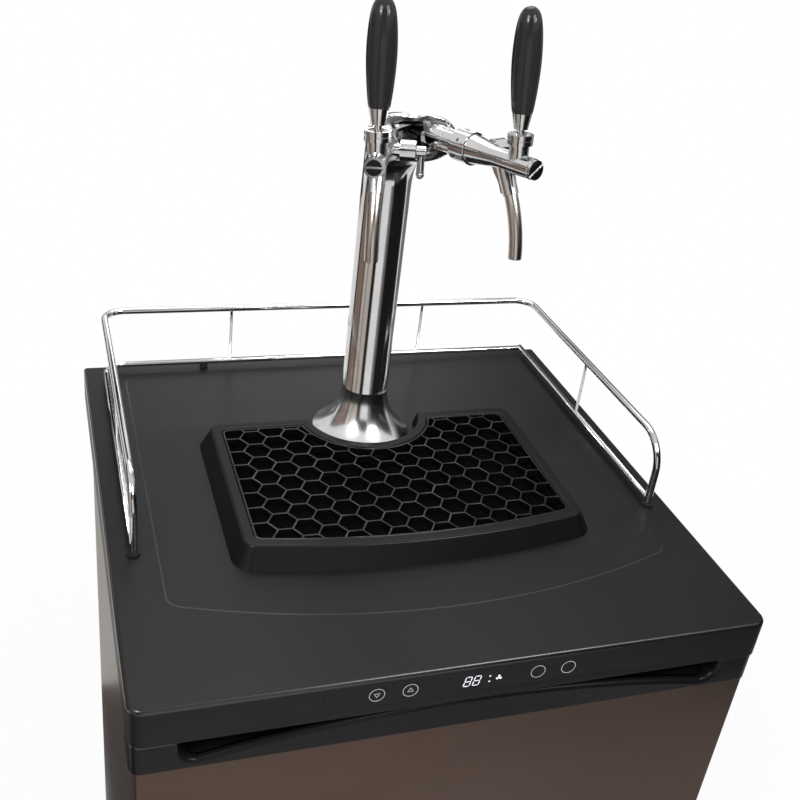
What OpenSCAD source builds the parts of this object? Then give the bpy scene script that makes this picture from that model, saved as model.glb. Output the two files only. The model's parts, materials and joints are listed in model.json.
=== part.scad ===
// Keg fridge with a worktop, guard rail, drip tray and a two-tap tower.
// The origin is on the floor under the middle of the worktop, with the front towards -Y.

/* [Worktop] */
// Width of the worktop
top_w = 605; // [590:1:660]
// Depth of the worktop
top_d = 582; // [574:1:640]
// Height of the worktop's surface above the floor
top_z = 885; // [860:1:960]
// Height of the band round the worktop
cap_h = 41; // [39:1:50]
// Thickness of the worktop's skin
cap_t = 3; // [2.5:0.5:4.5]
// Radius of the worktop's upright corners at the front
cap_r = 14; // [8:1:24]
// Radius of the worktop's upright corners at the back
cap_rb = 4; // [3.5:0.5:8]
// Gap between the worktop's band and the cabinet
side_gap = 3.5; // [3.5:0.5:5]
// Thickness of the worktop's floor above the door
soffit_t = 2.5; // [2:0.5:4]
// Height of the raised panel on the worktop
panel_h = 1; // [0.5:0.1:2]
// Width of the raised panel
panel_w = 514; // [480:1:530]
// Distance from the worktop's middle to the raised panel's front
panel_front = 215; // [200:1:240]
// Distance from the worktop's middle to the raised panel's back
panel_back = 262; // [240:1:270]
// Radius of the raised panel's bowed front edge
panel_bow = 730; // [600:10:1200]
// Radius of the raised panel's corners
panel_r = 16; // [8:1:30]

/* [Controls] */
// Width of the control film
strip_w = 282; // [260:1:320]
// Height of the control film
strip_h = 26; // [22:1:30]
// Thickness of the control film
strip_t = 0.8; // [0.4:0.1:1.2]
// Depth of the controls' middle line below the worktop
strip_drop = 19.5; // [18:0.5:21]
// Diameter of a push button
btn_d = 15; // [12:0.1:16]
// Gap round a push button
btn_gap = 0.3; // [0.2:0.1:0.6]
// Travel of a push button
btn_travel = 0.8; // [0.5:0.1:1.2]
// Distance from the middle to an inner button on the left
btn_left = 63; // [56:1:66]
// Distance from the middle to an inner button on the right
btn_right = 59; // [54:1:66]
// Distance between the two buttons of a pair
btn_pitch = 30.5; // [26:0.5:34]
// Width of the display behind the film
display_w = 36; // [28:1:44]
// Height of the display behind the film
display_h = 14; // [11:1:16]

/* [Cabinet] */
// Thickness of the insulated walls
wall_t = 42; // [36:1:50]
// Thickness of the insulated top
roof_t = 75; // [68:1:90]
// Thickness of the sheet steel
sheet_t = 1; // [0.6:0.1:1.5]
// Thickness of the inner liner
liner_t = 2; // [1.5:0.5:3]
// Depth of the machine space at the lower back
mach_d = 165; // [150:1:185]
// Height of the machine space
mach_h = 205; // [195:1:240]
// Thickness of the base plate
base_t = 4; // [3:0.5:6]
// Height of the base plate's rear lip
base_lip = 40; // [34:1:60]
// Diameter of the compressor
comp_d = 118; // [100:1:130]
// Height of the compressor's shell
comp_h = 150; // [130:1:165]
// Side of the circulation fan's housing
fan_w = 120; // [100:1:140]
// Depth of the circulation fan's housing
fan_t = 30; // [26:1:40]
// Diameter of the fan's shaft
fan_shaft = 5; // [4:0.5:6]

/* [Door] */
// Thickness of the door without its seal
door_t = 44; // [40:1:50]
// Thickness of the door seal
gasket_t = 8; // [7:0.5:10]
// Width of the door seal
gasket_w = 16; // [12:1:20]
// Gap between the seal and the cabinet
seal_gap = 0.5; // [0.3:0.1:1]
// Distance from the worktop's front to the door trim's face
door_inset = 2.5; // [1:0.5:5]
// How far the trim stands in front of the steel
trim_proud = 2; // [1:0.5:4]
// Distance from the worktop's side to the trim's end
trim_step = 4; // [2:0.5:6]
// Distance from the worktop's side to the steel's edge
steel_step = 7.5; // [6:0.5:10]
// Height of the door trim
trim_h = 33; // [31:1:40]
// Gap between the door and the worktop
door_gap = 2; // [1.5:0.5:4]
// Gap between the door and the base
door_foot = 8; // [6:1:14]
// Half length of the grip's opening
grip_x = 258; // [220:1:262]
// Radius of the lip's arch
grip_bow = 1290; // [1250:10:2000]
// Depth of the arch's crown below the trim's top
grip_crown = 1; // [0.5:0.1:3]
// Radius of the grip's scooped ends
grip_r = 16; // [10:1:18]
// Depth of the finger pocket
grip_d = 28; // [24:1:32]
// Thickness of the lip
lip_t = 8; // [6:1:10]
// Thickness under the finger pocket
grip_floor = 6; // [4:1:9]
// Distance from the worktop's side to the hinge axis
hinge_in = 21.5; // [19:0.5:24]
// Distance from the trim's face to the hinge axis
hinge_back = 22; // [20:0.5:24]
// Thickness of the hinge brackets
hinge_t = 2; // [1.5:0.5:3]
// Diameter of the hinge pins
hinge_pin = 8; // [6:0.5:9]

/* [Guard rail] */
// Distance of a side rail from the worktop's side
rail_side = 24.5; // [18.5:0.5:37.5]
// Distance from the middle to the front posts
rail_front = 88; // [60:1:140]
// Distance of the back rail from the worktop's back edge
rail_rear = 12; // [9:0.5:31]
// Height of the upper rail above the worktop
rail_z = 80; // [70:1:120]
// Diameter of the upper rail
rail_d = 8; // [6:0.5:10]
// Radius of the upper rail's back corners
rail_r = 24; // [18:1:40]
// Radius of the front bends
rail_bend = 38; // [25:1:50]
// Height of the lower rail above the worktop
low_z = 8; // [7:0.5:14]
// Diameter of the lower rail
low_d = 6.5; // [5:0.5:6.5]
// Diameter of the thin struts
strut_d = 3.5; // [3:0.5:5]
// Distance from the middle to a side strut
strut_y = 100; // [60:1:160]
// Distance from the middle to a back strut
strut_x = 125; // [90:1:150]
// Diameter of the rubber feet
foot_d = 12.5; // [12:0.5:18]
// Height of the rubber feet
foot_h = 3; // [3:0.5:6]
// Distance from the middle to the rubber block under the back rail
block_x = 158; // [154:1:200]
// Wall of that block round the lower rail
block_wall = 1.5; // [1:0.5:3]

/* [Drip tray] */
// Width of the tray's rim
tray_w = 356; // [320:1:400]
// Height of the tray
tray_h = 22; // [20:1:30]
// Distance from the tower to the tray's back edge
tray_back = 8; // [4:1:20]
// Distance from the tower to the middle of the tray's front edge
tray_front = 247; // [220:1:270]
// Radius of the tray's bowed front
tray_bow = 880; // [700:10:1400]
// Radius of the tray's corners
tray_r = 12; // [8:1:20]
// Spread of the tray's sloping sides
tray_skirt = 12; // [6:1:16]
// Width of the tray's rim
rim_w = 11; // [9:0.5:14]
// Width of the ledge under the grate
ledge_w = 5; // [4:0.5:8]
// Thickness of the tray's floor
tray_floor = 2; // [1.5:0.5:4]
// Radius of the notch round the tower
notch_r = 66; // [62:1:80]
// Height of the grate
grate_h = 8; // [5:0.5:12]
// Depth of the grate below the rim
grate_sink = 1; // [0.5:0.5:3]
// Gap round the grate
grate_gap = 0.4; // [0.3:0.1:1]
// Width of the grate's frame
grate_frame = 2; // [1.5:0.5:4]
// Distance between the grate's cells
cell_pitch = 26; // [20:0.5:32]
// Thickness of the grate's cell walls
cell_wall = 1.8; // [1.2:0.1:3]

/* [Tower] */
// Distance of the tower behind the worktop's middle
tower_y = 108; // [90:1:120]
// Radius of the tower's foot
flange_r = 56; // [50:1:58]
// Thickness of the foot's edge
flange_t = 4; // [3:0.5:6]
// Height of the foot's flare
flare_h = 60; // [50:1:80]
// Diameter of the column
column_d = 52; // [48:1:58]
// Wall of the column
column_t = 2; // [1.5:0.5:3]
// Height of the hood's start above the worktop
hood_z = 285; // [250:1:340]
// Thickness of the hood
hood_t = 2.5; // [2:0.5:3]
// Diameter of the threaded tail under the foot
tail_d = 34; // [32:0.5:38]
// Clearance of the holes round the tail
tail_gap = 1; // [0.5:0.5:2]
// Bore of the threaded tail
tail_bore = 28; // [27.5:0.5:29]
// Thickness of the tail's nut
tail_nut = 10; // [8:1:14]
// Length of the tail below its nut
tail_end = 8; // [4:1:14]
// Diameter of the drink pipes
pipe_d = 8; // [7:0.5:8.5]
// Bore of the drink pipes
pipe_bore = 6; // [5:0.5:6.5]
// Distance between the middle and a drink pipe
pipe_x = 9; // [8.5:0.1:9.3]
// Diameter of a drink pipe's hose end
hose_d = 9; // [8.8:0.1:9.2]
// Length of a drink pipe's hose end
hose_l = 30; // [20:1:40]

/* [Taps] */
// Height of the taps above the hood's start
tap_rise = 79; // [78:1:80]
// Angle of each tap from straight ahead
tap_ang = 22; // [20:0.5:24]
// Upward tilt of the taps
tap_tilt = 3.3; // [2.5:0.1:3.5]
// Sideways lean of the left tap about its axis
tap_roll = 3.5; // [0:0.5:4]
// Distance from the tower's axis to an arm's start
arm_r0 = 38; // [37.5:0.5:42]
// Distance from the tower's axis to an arm's shoulder
arm_r1 = 100; // [94:1:104]
// Diameter of an arm
arm_d = 23; // [22:0.5:23.5]
// Diameter of an arm's flange
arm_flange = 28; // [26:0.5:28]
// Distance from an arm's start to its flange
flange_in = 20; // [18:1:22]
// Diameter of the thread inside the coupling nut
thread_d = 22; // [19:0.5:22]
// Diameter of the coupling nut
nut_d = 31; // [29:0.5:36]
// Length of the coupling nut
nut_l = 20; // [16:1:26]
// Diameter of the tap's back end
body_d0 = 28; // [26:0.5:31]
// Diameter of the tap's barrel
body_d1 = 19; // [18.5:0.5:21]
// Length of the tap's taper
body_taper = 30; // [24:1:34]
// Distance from the coupling nut to the lever
lever_l = 57; // [54:1:60]
// Distance from the lever to the barrel's end
nose_l = 20; // [19:1:24]
// Diameter of the nose plug
nose_d = 18; // [16.5:0.5:18.5]
// Thickness of the nose plug's head
nose_t = 4; // [3:0.5:6]
// Turn of the slot in the right nose plug
plug_turn = 35; // [0:5:90]
// Diameter of the valve rod
rod_d = 10; // [9:0.5:10.5]
// Height of the lever's pivot above the barrel's axis
pivot_z = 15; // [14.5:0.5:16]
// Diameter of the lever's ball
ball_d = 13; // [12.5:0.1:13.4]
// Diameter of the lever's pivot pins
pin_d = 4; // [3:0.5:4.5]
// Length over the lever's pivot pins
pin_l = 15.4; // [15:0.1:15.6]
// Diameter of the lever's stem
stem_d = 7; // [6:0.5:7]
// Diameter of the lever's finger
finger_d = 5; // [4:0.5:5]
// Lean of the lever towards the tower at rest
lever_lean = 3; // [1:0.5:4]
// Diameter of the collar that holds the lever
collar_d = 23.5; // [20.5:0.5:24]
// Height of the collar
collar_h = 9; // [8.5:0.5:9.5]
// Diameter of the bonnet under the collar
bonnet_d = 18; // [17:0.5:19]
// Height of the ferrule's foot above the pivot
ferrule_up = 16; // [16:0.5:20]
// Height of the ferrule
ferrule_h = 14; // [12:1:20]
// Diameter of the ferrule's foot
ferrule_d0 = 12.5; // [10:0.5:12.5]
// Diameter of the ferrule's top
ferrule_d1 = 18; // [17:0.1:20]
// Length of a handle
handle_l = 89; // [80:1:120]
// Diameter of a handle's foot
handle_d0 = 19.5; // [18.5:0.5:23]
// Largest diameter of a handle
handle_d1 = 26; // [25:0.5:32]
// Diameter of a handle's top
handle_d2 = 20; // [18:0.5:24]
// Angle of the spout's start from upright
spout_ang = 27; // [22:1:32]
// Radius of the spout's curve
spout_bend = 135; // [110:1:180]
// Angle that the spout turns through
spout_turn = 25; // [20:1:30]
// Diameter of the spout
spout_d = 12.6; // [11.5:0.1:13]
// Bore of the spout
spout_bore = 9; // [8:0.5:9.5]
// Diameter of the spout's socket
socket_d = 15.5; // [15:0.5:17]
// Length of the spout's socket from the barrel's axis
socket_l = 33; // [29:1:38]
// Distance from the socket's root back to the lever
socket_back = 18; // [15:0.5:19]
// Length of the thin sleeve at the socket's end
sleeve_l = 12; // [10:1:15]
// Wall of the thin sleeve at the socket's end
sleeve_t = 1; // [0.8:0.1:1.4]
// Thickness of the web behind the spout
web_t = 5; // [4:0.5:7]
// Distance from the coupling nut to the flow control
flow_l = 7; // [6:1:9]
// Diameter of the flow control's barrel
flow_d = 19; // [16:0.5:21]
// Distance from the tap's axis to the flow control's end
flow_out = 31; // [28:1:36]
// Length of the flow control's barrel
flow_w = 14; // [12:1:14]
// Diameter of the flow control's shaft
shaft_d = 6; // [5:0.5:7]
// Length of the flow lever
flow_lever = 21; // [18:1:32]
// Diameter of the flow lever
flow_lever_d = 7; // [5.5:0.1:8]

/* [Casters] */
// Height of the casters
caster_h = 62; // [60:1:75]
// Diameter of the caster wheels
wheel_d = 46; // [42:1:47]
// Width of the caster wheels
wheel_w = 17; // [14:1:20]
// Distance from a caster's swivel axis back to its axle
trail = 14; // [10:1:16]
// Distance of a caster's swivel axis from the cabinet's side
caster_side = 46; // [40:1:76]
// Distance of a front caster's swivel axis from the cabinet's front
caster_front = 34; // [30:1:54]
// Distance of a rear caster's swivel axis from the cabinet's back
caster_rear = 52.5; // [44.5:1:84.5]
// Side of a caster's plate
plate_w = 54; // [50:1:64]
// Thickness of a caster's plate
plate_t = 3; // [2:0.5:3]
// Diameter of a caster's kingpin
king_d = 10; // [8:0.5:12]
// Diameter of a caster's axle
axle_d = 6; // [5:0.5:8]

/* [Fits] */
// Radial clearance of pins and shafts that turn or slide
run_gap = 0.05; // [0.02:0.01:0.09]
// Radial clearance of seated pieces
seat_gap = 0.1; // [0.05:0.05:0.2]
// Gap between faces that move past each other
face_gap = 0.3; // [0.2:0.1:0.5]

/* [Hidden] */
$fn = 64;
// Overlap that joins shapes within one piece and carries cuts past a face
lap = 0.5;

// Cabinet planes
cap_z0 = top_z - cap_h;
front_y = -top_d / 2;
door_y0 = front_y + door_inset;
steel_y0 = door_y0 + trim_proud;
door_yb = steel_y0 + door_t;
seal_yb = door_yb + gasket_t;
cab_yf = seal_yb + seal_gap;
cab_yb = top_d / 2 - cap_t - side_gap;
cab_x = top_w / 2 - cap_t - side_gap;
cab_z0 = caster_h + base_t;
cab_z1 = top_z - cap_t;
liner_z0 = cab_z0 + wall_t;
liner_z1 = cab_z1 - roof_t;
mach_y = cab_yb - mach_d;
mach_z = cab_z0 + mach_h;
rear_wall_y = cab_yb - wall_t - liner_t;

// Places of the guard rail and the casters
rail_x = top_w / 2 - rail_side;
rail_back = top_d / 2 - rail_rear;
block_d = low_d + 2 * block_wall;
caster_x = cab_x - caster_side;
caster_yf = -cab_yf - caster_front;
caster_yb = cab_yb - caster_rear;

// Door planes
door_z0 = cab_z0 + door_foot;
trim_z1 = cap_z0 - door_gap;
trim_z0 = trim_z1 - trim_h;
trim_x = top_w / 2 - trim_step;
door_x = top_w / 2 - steel_step;
trim_yb = door_yb - liner_t;
hinge_x = top_w / 2 - hinge_in;
hinge_y = door_y0 + hinge_back;
hinge_reach = 14;
seal_over = 15;

// Controls
ctrl_z = top_z - strip_drop;
btn_x = [-btn_left - btn_pitch, -btn_left, btn_right, btn_right + btn_pitch];
btn_flange = 1.3;
btn_back = front_y + cap_t + face_gap + btn_flange + 2.5;
switch_y = btn_back + btn_travel + 0.4;
board_y = switch_y + 2;
board_t = 1.6;
post_x = 120;
post_d = 6;

// Tower heights
top_face = top_z + panel_h;
column_z0 = top_face + flare_h;
column_z1 = top_z + hood_z;
tap_z = column_z1 + tap_rise;
nut_z = liner_z1 - liner_t - tail_nut;
tail_z0 = nut_z - tail_end;
hose_z0 = tail_z0 - hose_l;
pipe_rise = 52;
pipe_z1 = column_z1 + pipe_rise;

// Distances along a tap from the tower's axis
nut_r0 = arm_r1 + face_gap;
nut_r1 = nut_r0 + nut_l;
thread_r = nut_r0 + nut_l / 2;
body_r0 = nut_r1 + face_gap;
lever_r = nut_r1 + lever_l;
barrel_r1 = lever_r + nose_l;
flow_r = nut_r1 + flow_l;
socket_r = lever_r - socket_back;
rod_r0 = body_r0 + 12;
rod_r1 = barrel_r1 - 9;
lever_turn = 25;
rod_travel = pivot_z * lever_turn * PI / 180;
collar_z0 = pivot_z + 3;

// Colours
black_plastic = [0.11, 0.11, 0.12];
chrome_grey = [0.82, 0.83, 0.85];
steel_brown = [0.45, 0.37, 0.33];
white_plastic = [0.93, 0.94, 0.94];
dark_metal = [0.16, 0.16, 0.17];
rubber_black = [0.06, 0.06, 0.06];

// Box between two corners
module box(a, b) {
    translate(a) cube(b - a);
}

// Rectangle with round corners, centred
module rounded(w, d, r) {
    for (sx = [-1, 1], sy = [-1, 1])
        translate([sx * (w / 2 - r), sy * (d / 2 - r)]) circle(r);
    square([w - 2 * r, d], center = true);
    square([w, d - 2 * r], center = true);
}

// Outline of the worktop, moved in by o
module cap_outline(o) {
    x = top_w / 2 - o;
    y0 = front_y + o;
    y1 = top_d / 2 - o;
    rf = cap_r - o;
    rb = max(cap_rb, cap_t + lap) - o;
    for (s = [-1, 1]) {
        translate([s * (x - rf), y0 + rf]) circle(rf);
        translate([s * (x - rb), y1 - rb]) circle(rb);
    }
    translate([-x, y0 + rf]) square([2 * x, y1 - rb - y0 - rf]);
    translate([rf - x, y0]) square([2 * (x - rf), y1 - rb - y0]);
    translate([rb - x, y0 + rf]) square([2 * (x - rb), y1 - y0 - rf]);
}

// Angle and corner centre of an outline with a bowed front: width, bow radius, corner radius
function bow_angle(w, bow, r) = asin((w / 2 - r) / (bow - r));
function bow_corner(w, front, bow, r) = [w / 2 - r, front + bow - (bow - r) * cos(bow_angle(w, bow, r))];

// Outline with straight sides and back, a bowed front and round corners
module bowed(w, back, front, bow, r) {
    a = bow_angle(w, bow, r);
    c = bow_corner(w, front, bow, r);
    intersection() {
        translate([0, front + bow]) circle(bow, $fn = 256);
        translate([0, front + bow])
            polygon([[0, 0], [-2 * bow * sin(a), -2 * bow * cos(a)], [2 * bow * sin(a), -2 * bow * cos(a)]]);
        translate([-w, front - 1]) square([2 * w, c.y - front + 1 + lap]);
    }
    for (s = [-1, 1]) {
        translate([s * c.x, c.y]) circle(r);
        translate([s * c.x, back - r]) circle(r);
    }
    translate([-w / 2, c.y]) square([w, back - r - c.y]);
    translate([-c.x, c.y]) square([2 * c.x, back - c.y]);
}

// Solid on the bowed outline whose sides slope out by spread at the foot
module bowed_taper(w, back, front, bow, r, h, spread) {
    skin = 0.01;
    hull() {
        linear_extrude(skin)
            bowed(w + 2 * spread, back + spread, front - spread, bow + spread, r + spread);
        translate([0, 0, h - skin]) linear_extrude(skin) bowed(w, back, front, bow, r);
    }
}

// Tube that turns a quarter in the XY plane, from +X towards +Y
module quarter_bend(r, d) {
    rotate_extrude(angle = 90) translate([r, 0]) circle(d / 2);
}

// Room for the tower's tail through the cabinet's top
module tail_hole() {
    translate([0, tower_y, tail_z0]) cylinder(h = top_face - tail_z0 + 1, d = tail_d + 2 * tail_gap);
}

// Stepped box of the keg space
module keg_space() {
    x = cab_x - wall_t;
    difference() {
        box([-x, cab_yf - 1, liner_z0], [x, cab_yb - wall_t, liner_z1]);
        box([-x - 1, mach_y - wall_t, liner_z0 - 1], [x + 1, cab_yb, mach_z + wall_t]);
    }
}

// Steel sheets of both sides and the top
module cabinet_shell() {
    x = cab_x - sheet_t;
    color(dark_metal) {
        for (s = [0, 1]) mirror([s, 0, 0])
            box([x, cab_yf, cab_z0], [cab_x, cab_yb - sheet_t, cab_z1]);
        difference() {
            box([seat_gap - x, cab_yf, cab_z1 - sheet_t], [x - seat_gap, cab_yb - sheet_t, cab_z1]);
            tail_hole();
        }
    }
}

module insulation_foam() {
    x = cab_x - sheet_t;
    color([0.95, 0.9, 0.65]) difference() {
        box([-x, cab_yf + liner_t, cab_z0], [x, cab_yb - sheet_t, cab_z1 - sheet_t]);
        keg_space();
        box([-x - 1, mach_y, cab_z0 - 1], [x + 1, cab_yb + 1, mach_z]);
        tail_hole();
    }
}

// Panels round the keg space, with a step over the machine space, and the frame that faces the door
module inner_liner() {
    frame_x = cab_x - sheet_t;
    x1 = cab_x - wall_t;
    x0 = x1 - liner_t;
    x = x0 - seat_gap;
    y0 = cab_yf + liner_t + seat_gap;
    step_y = mach_y - wall_t;
    step_z = mach_z + wall_t;
    y1 = cab_yb - wall_t;
    color(white_plastic) {
        box([-x, cab_yf, cab_z0], [x, cab_yf + liner_t, liner_z0 + liner_t]);
        box([-x, cab_yf, liner_z1 - liner_t], [x, cab_yf + liner_t, cab_z1 - sheet_t]);
        for (s = [0, 1]) mirror([s, 0, 0]) {
            box([x0, cab_yf, cab_z0], [frame_x, cab_yf + liner_t, cab_z1 - sheet_t]);
            box([x0, y0, liner_z0], [x1, step_y, step_z]);
            box([x0, y0, step_z + seat_gap], [x1, y1, liner_z1]);
        }
        box([-x, y0, liner_z0], [x, step_y, liner_z0 + liner_t]);
        box([-x, step_y - liner_t, liner_z0 + liner_t + seat_gap], [x, step_y, step_z + liner_t]);
        box([-x, step_y + seat_gap, step_z], [x, y1, step_z + liner_t]);
        box([-x, y1 - liner_t, step_z + liner_t + seat_gap], [x, y1, liner_z1 - liner_t - seat_gap]);
        difference() {
            box([-x, y0, liner_z1 - liner_t], [x, y1, liner_z1]);
            tail_hole();
        }
    }
}

module back_panel() {
    color(dark_metal) box([-cab_x, cab_yb - sheet_t, mach_z], [cab_x, cab_yb, cab_z1]);
}

// Base with an upright lip behind the machine space
gland_x = -180;
gland_z = cab_z0 + base_lip / 2;
gland_d = 16;
module base_plate() {
    lip_y = cab_yb - base_t;
    color(dark_metal) {
        box([-cab_x, cab_yf, caster_h], [cab_x, lip_y - seat_gap, cab_z0]);
        difference() {
            box([-cab_x + sheet_t, lip_y, caster_h], [cab_x - sheet_t, cab_yb, cab_z0 + base_lip]);
            translate([gland_x, cab_yb + 1, gland_z]) rotate([90, 0, 0]) cylinder(h = base_t + 2, d = gland_d);
        }
    }
}

// Bush that leads the mains lead out of the machine space
module cord_gland() {
    rim = 4;
    color(rubber_black) translate([gland_x, cab_yb, gland_z]) rotate([90, 0, 0]) difference() {
        union() {
            cylinder(h = base_t, d = gland_d - 2 * seat_gap);
            translate([0, 0, base_t]) cylinder(h = 3, d = gland_d + rim);
        }
        translate([0, 0, -1]) cylinder(h = base_t + 5, d = gland_d / 2);
    }
}

// Hermetic compressor on four feet
module compressor() {
    foot = 12;
    plate = 3;
    r = comp_d / 2;
    dome = 28;
    color(dark_metal) translate([60, cab_yb - mach_d / 2, cab_z0]) {
        for (sx = [-1, 1], sy = [-1, 1])
            translate([sx * r, sy * r * 0.8, 0]) cylinder(h = foot + lap, d = 24);
        translate([0, 0, foot]) linear_extrude(plate) rounded(comp_d + 30, comp_d * 0.8 + 30, 12);
        translate([0, 0, foot + plate - lap]) {
            cylinder(h = comp_h - dome, r = r);
            translate([0, 0, comp_h - dome]) cylinder(h = dome * 0.6, r1 = r, r2 = r * 0.8);
            translate([0, 0, comp_h - dome * 0.4]) cylinder(h = dome * 0.4, r1 = r * 0.8, r2 = r * 0.4);
        }
    }
}

// Circulation fan on the back wall of the keg space
fan_z = liner_z1 - fan_w / 2 - 40;
fan_back = 3;
fan_hole = fan_w - 16;
module fan_axis() {
    translate([0, rear_wall_y, fan_z]) rotate([90, 0, 0]) children();
}

module fan_housing() {
    bar = 4;
    color(white_plastic) fan_axis() {
        difference() {
            translate([-fan_w / 2, -fan_w / 2, 0]) cube([fan_w, fan_w, fan_t]);
            translate([0, 0, fan_back]) cylinder(h = fan_t, d = fan_hole);
        }
        cylinder(h = fan_back + 6, d = 34);
        cylinder(h = fan_t - 1, d = fan_shaft);
        for (a = [0, 90])
            rotate(a) translate([-fan_hole / 2 - 1, -bar / 2, fan_t - 2.5]) cube([fan_hole + 2, bar, 2.5]);
        translate([0, 0, fan_t - 2.5]) difference() {
            cylinder(h = 2.5, d = fan_hole * 0.6);
            translate([0, 0, -1]) cylinder(h = 5, d = fan_hole * 0.6 - 2 * bar);
        }
    }
}

module fan_rotor() {
    hub = 34;
    z0 = fan_back + 6 + face_gap;
    depth = fan_t - z0 - 5;
    color(black_plastic) fan_axis() translate([0, 0, z0]) difference() {
        union() {
            cylinder(h = depth, d = hub);
            for (a = [0:72:288])
                rotate(a) translate([hub / 2 - 3, 0, depth / 2]) rotate([40, 0, 0])
                    translate([0, -depth * 0.6, -0.8]) cube([fan_hole / 2 - hub / 2, depth * 1.2, 1.6]);
        }
        translate([0, 0, -1]) cylinder(h = depth + 2, d = fan_shaft + 2 * run_gap);
    }
}

// Hinge bracket with its pin, on the cabinet's front above and below the door
hinge_top_z = cap_z0 + soffit_t;
pin_in = 14;
module hinge_bracket(z, up) {
    color(dark_metal) translate([0, 0, z]) {
        h0 = up ? 0 : -hinge_t;
        box([hinge_x - hinge_reach, hinge_y - hinge_pin, h0], [hinge_x + hinge_pin, cab_yf, h0 + hinge_t]);
        tab = up ? 20 : 14;
        box([hinge_x - hinge_reach, cab_yf - hinge_t, h0], [hinge_x + hinge_pin, cab_yf, h0 + tab]);
    }
}

module hinge_top() {
    hinge_bracket(hinge_top_z, true);
    color(dark_metal) translate([hinge_x, hinge_y, trim_z1 - pin_in])
        cylinder(h = hinge_top_z + lap - trim_z1 + pin_in, d = hinge_pin);
}

module hinge_bottom() {
    hinge_bracket(cab_z0 + hinge_t, false);
    color(dark_metal) translate([hinge_x, hinge_y, cab_z0 + lap])
        cylinder(h = door_foot - lap + pin_in, d = hinge_pin);
}

// Room in the door for a hinge pin
module pin_hole(z, gap) {
    translate([hinge_x, hinge_y, z]) cylinder(h = pin_in + 2, d = hinge_pin + 2 * gap);
}

// Steel pan of the door, open towards the keg space
module door_panel() {
    color(steel_brown) difference() {
        box([-door_x, steel_y0, door_z0], [door_x, trim_yb, trim_z0]);
        box([-door_x + sheet_t, steel_y0 + sheet_t, door_z0 + sheet_t],
            [door_x - sheet_t, door_yb, trim_z0 - sheet_t]);
        pin_hole(door_z0 - 1, run_gap);
    }
}

module door_foam() {
    color([0.95, 0.9, 0.65]) difference() {
        box([-door_x + sheet_t, steel_y0 + sheet_t, door_z0 + sheet_t],
            [door_x - sheet_t, trim_yb, trim_z0 - sheet_t]);
        pin_hole(door_z0, 1);
    }
}

// Door liner with a rim that reaches into the keg space
module door_liner() {
    x = cab_x - wall_t - liner_t - seal_over;
    z0 = liner_z0 + liner_t + seal_over;
    z1 = liner_z1 - liner_t - seal_over;
    y1 = cab_yf + seal_over;
    rim = 3;
    color(white_plastic) {
        box([-door_x, trim_yb, door_z0], [door_x, door_yb, trim_z1]);
        difference() {
            box([-x, door_yb - lap, z0], [x, y1, z1]);
            box([-x + rim, door_yb - 1, z0 + rim], [x - rim, y1 + 1, z1 - rim]);
        }
    }
}

module door_gasket() {
    x = cab_x - wall_t + seal_over;
    z0 = liner_z0 - seal_over;
    z1 = liner_z1 + seal_over;
    color([0.3, 0.3, 0.31]) difference() {
        box([-x, door_yb, z0], [x, seal_yb, z1]);
        box([-x + gasket_w, door_yb - 1, z0 + gasket_w], [x - gasket_w, seal_yb + 1, z1 - gasket_w]);
    }
}

// Opening of the grip seen from the front, above the arched lip
module grip_outline() {
    crown = trim_z1 - grip_crown;
    end = grip_x - grip_r;
    end_z = crown - grip_bow + sqrt(grip_bow * grip_bow - end * end) + grip_r;
    difference() {
        union() {
            for (s = [-1, 1]) {
                translate([s * end, end_z]) circle(grip_r);
                translate([s * end - grip_r, end_z]) square([2 * grip_r, trim_z1 - end_z + 1]);
            }
            translate([-end, end_z - grip_r]) square([2 * end, trim_z1 - end_z + grip_r + 1]);
        }
        translate([0, crown - grip_bow]) circle(grip_bow, $fn = 360);
    }
}

// Moulded top of the door with the finger grip
module door_trim() {
    floor_z = trim_z0 + grip_floor;
    end = grip_x - grip_r;
    color(black_plastic) difference() {
        box([-trim_x, door_y0, trim_z0], [trim_x, trim_yb, trim_z1]);
        translate([0, door_y0 + grip_d, 0]) rotate([90, 0, 0]) linear_extrude(grip_d + 1) grip_outline();
        translate([0, 0, floor_z]) linear_extrude(trim_h) {
            translate([-end, door_y0 + lip_t]) square([2 * end, grip_d - lip_t]);
            for (s = [-1, 1])
                translate([s * end, door_y0 + (lip_t + grip_d) / 2]) circle((grip_d - lip_t) / 2);
        }
        pin_hole(trim_z1 - pin_in - 1, run_gap);
    }
}

// Outline of the control film, seen from the front
module film_outline(o) {
    translate([0, ctrl_z]) rounded(strip_w + 2 * o, strip_h + 2 * o, 3);
}

// Places of the push buttons in the front band
module at_buttons() {
    for (x = btn_x)
        translate([x, front_y, ctrl_z]) rotate([-90, 0, 0]) children();
}

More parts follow.
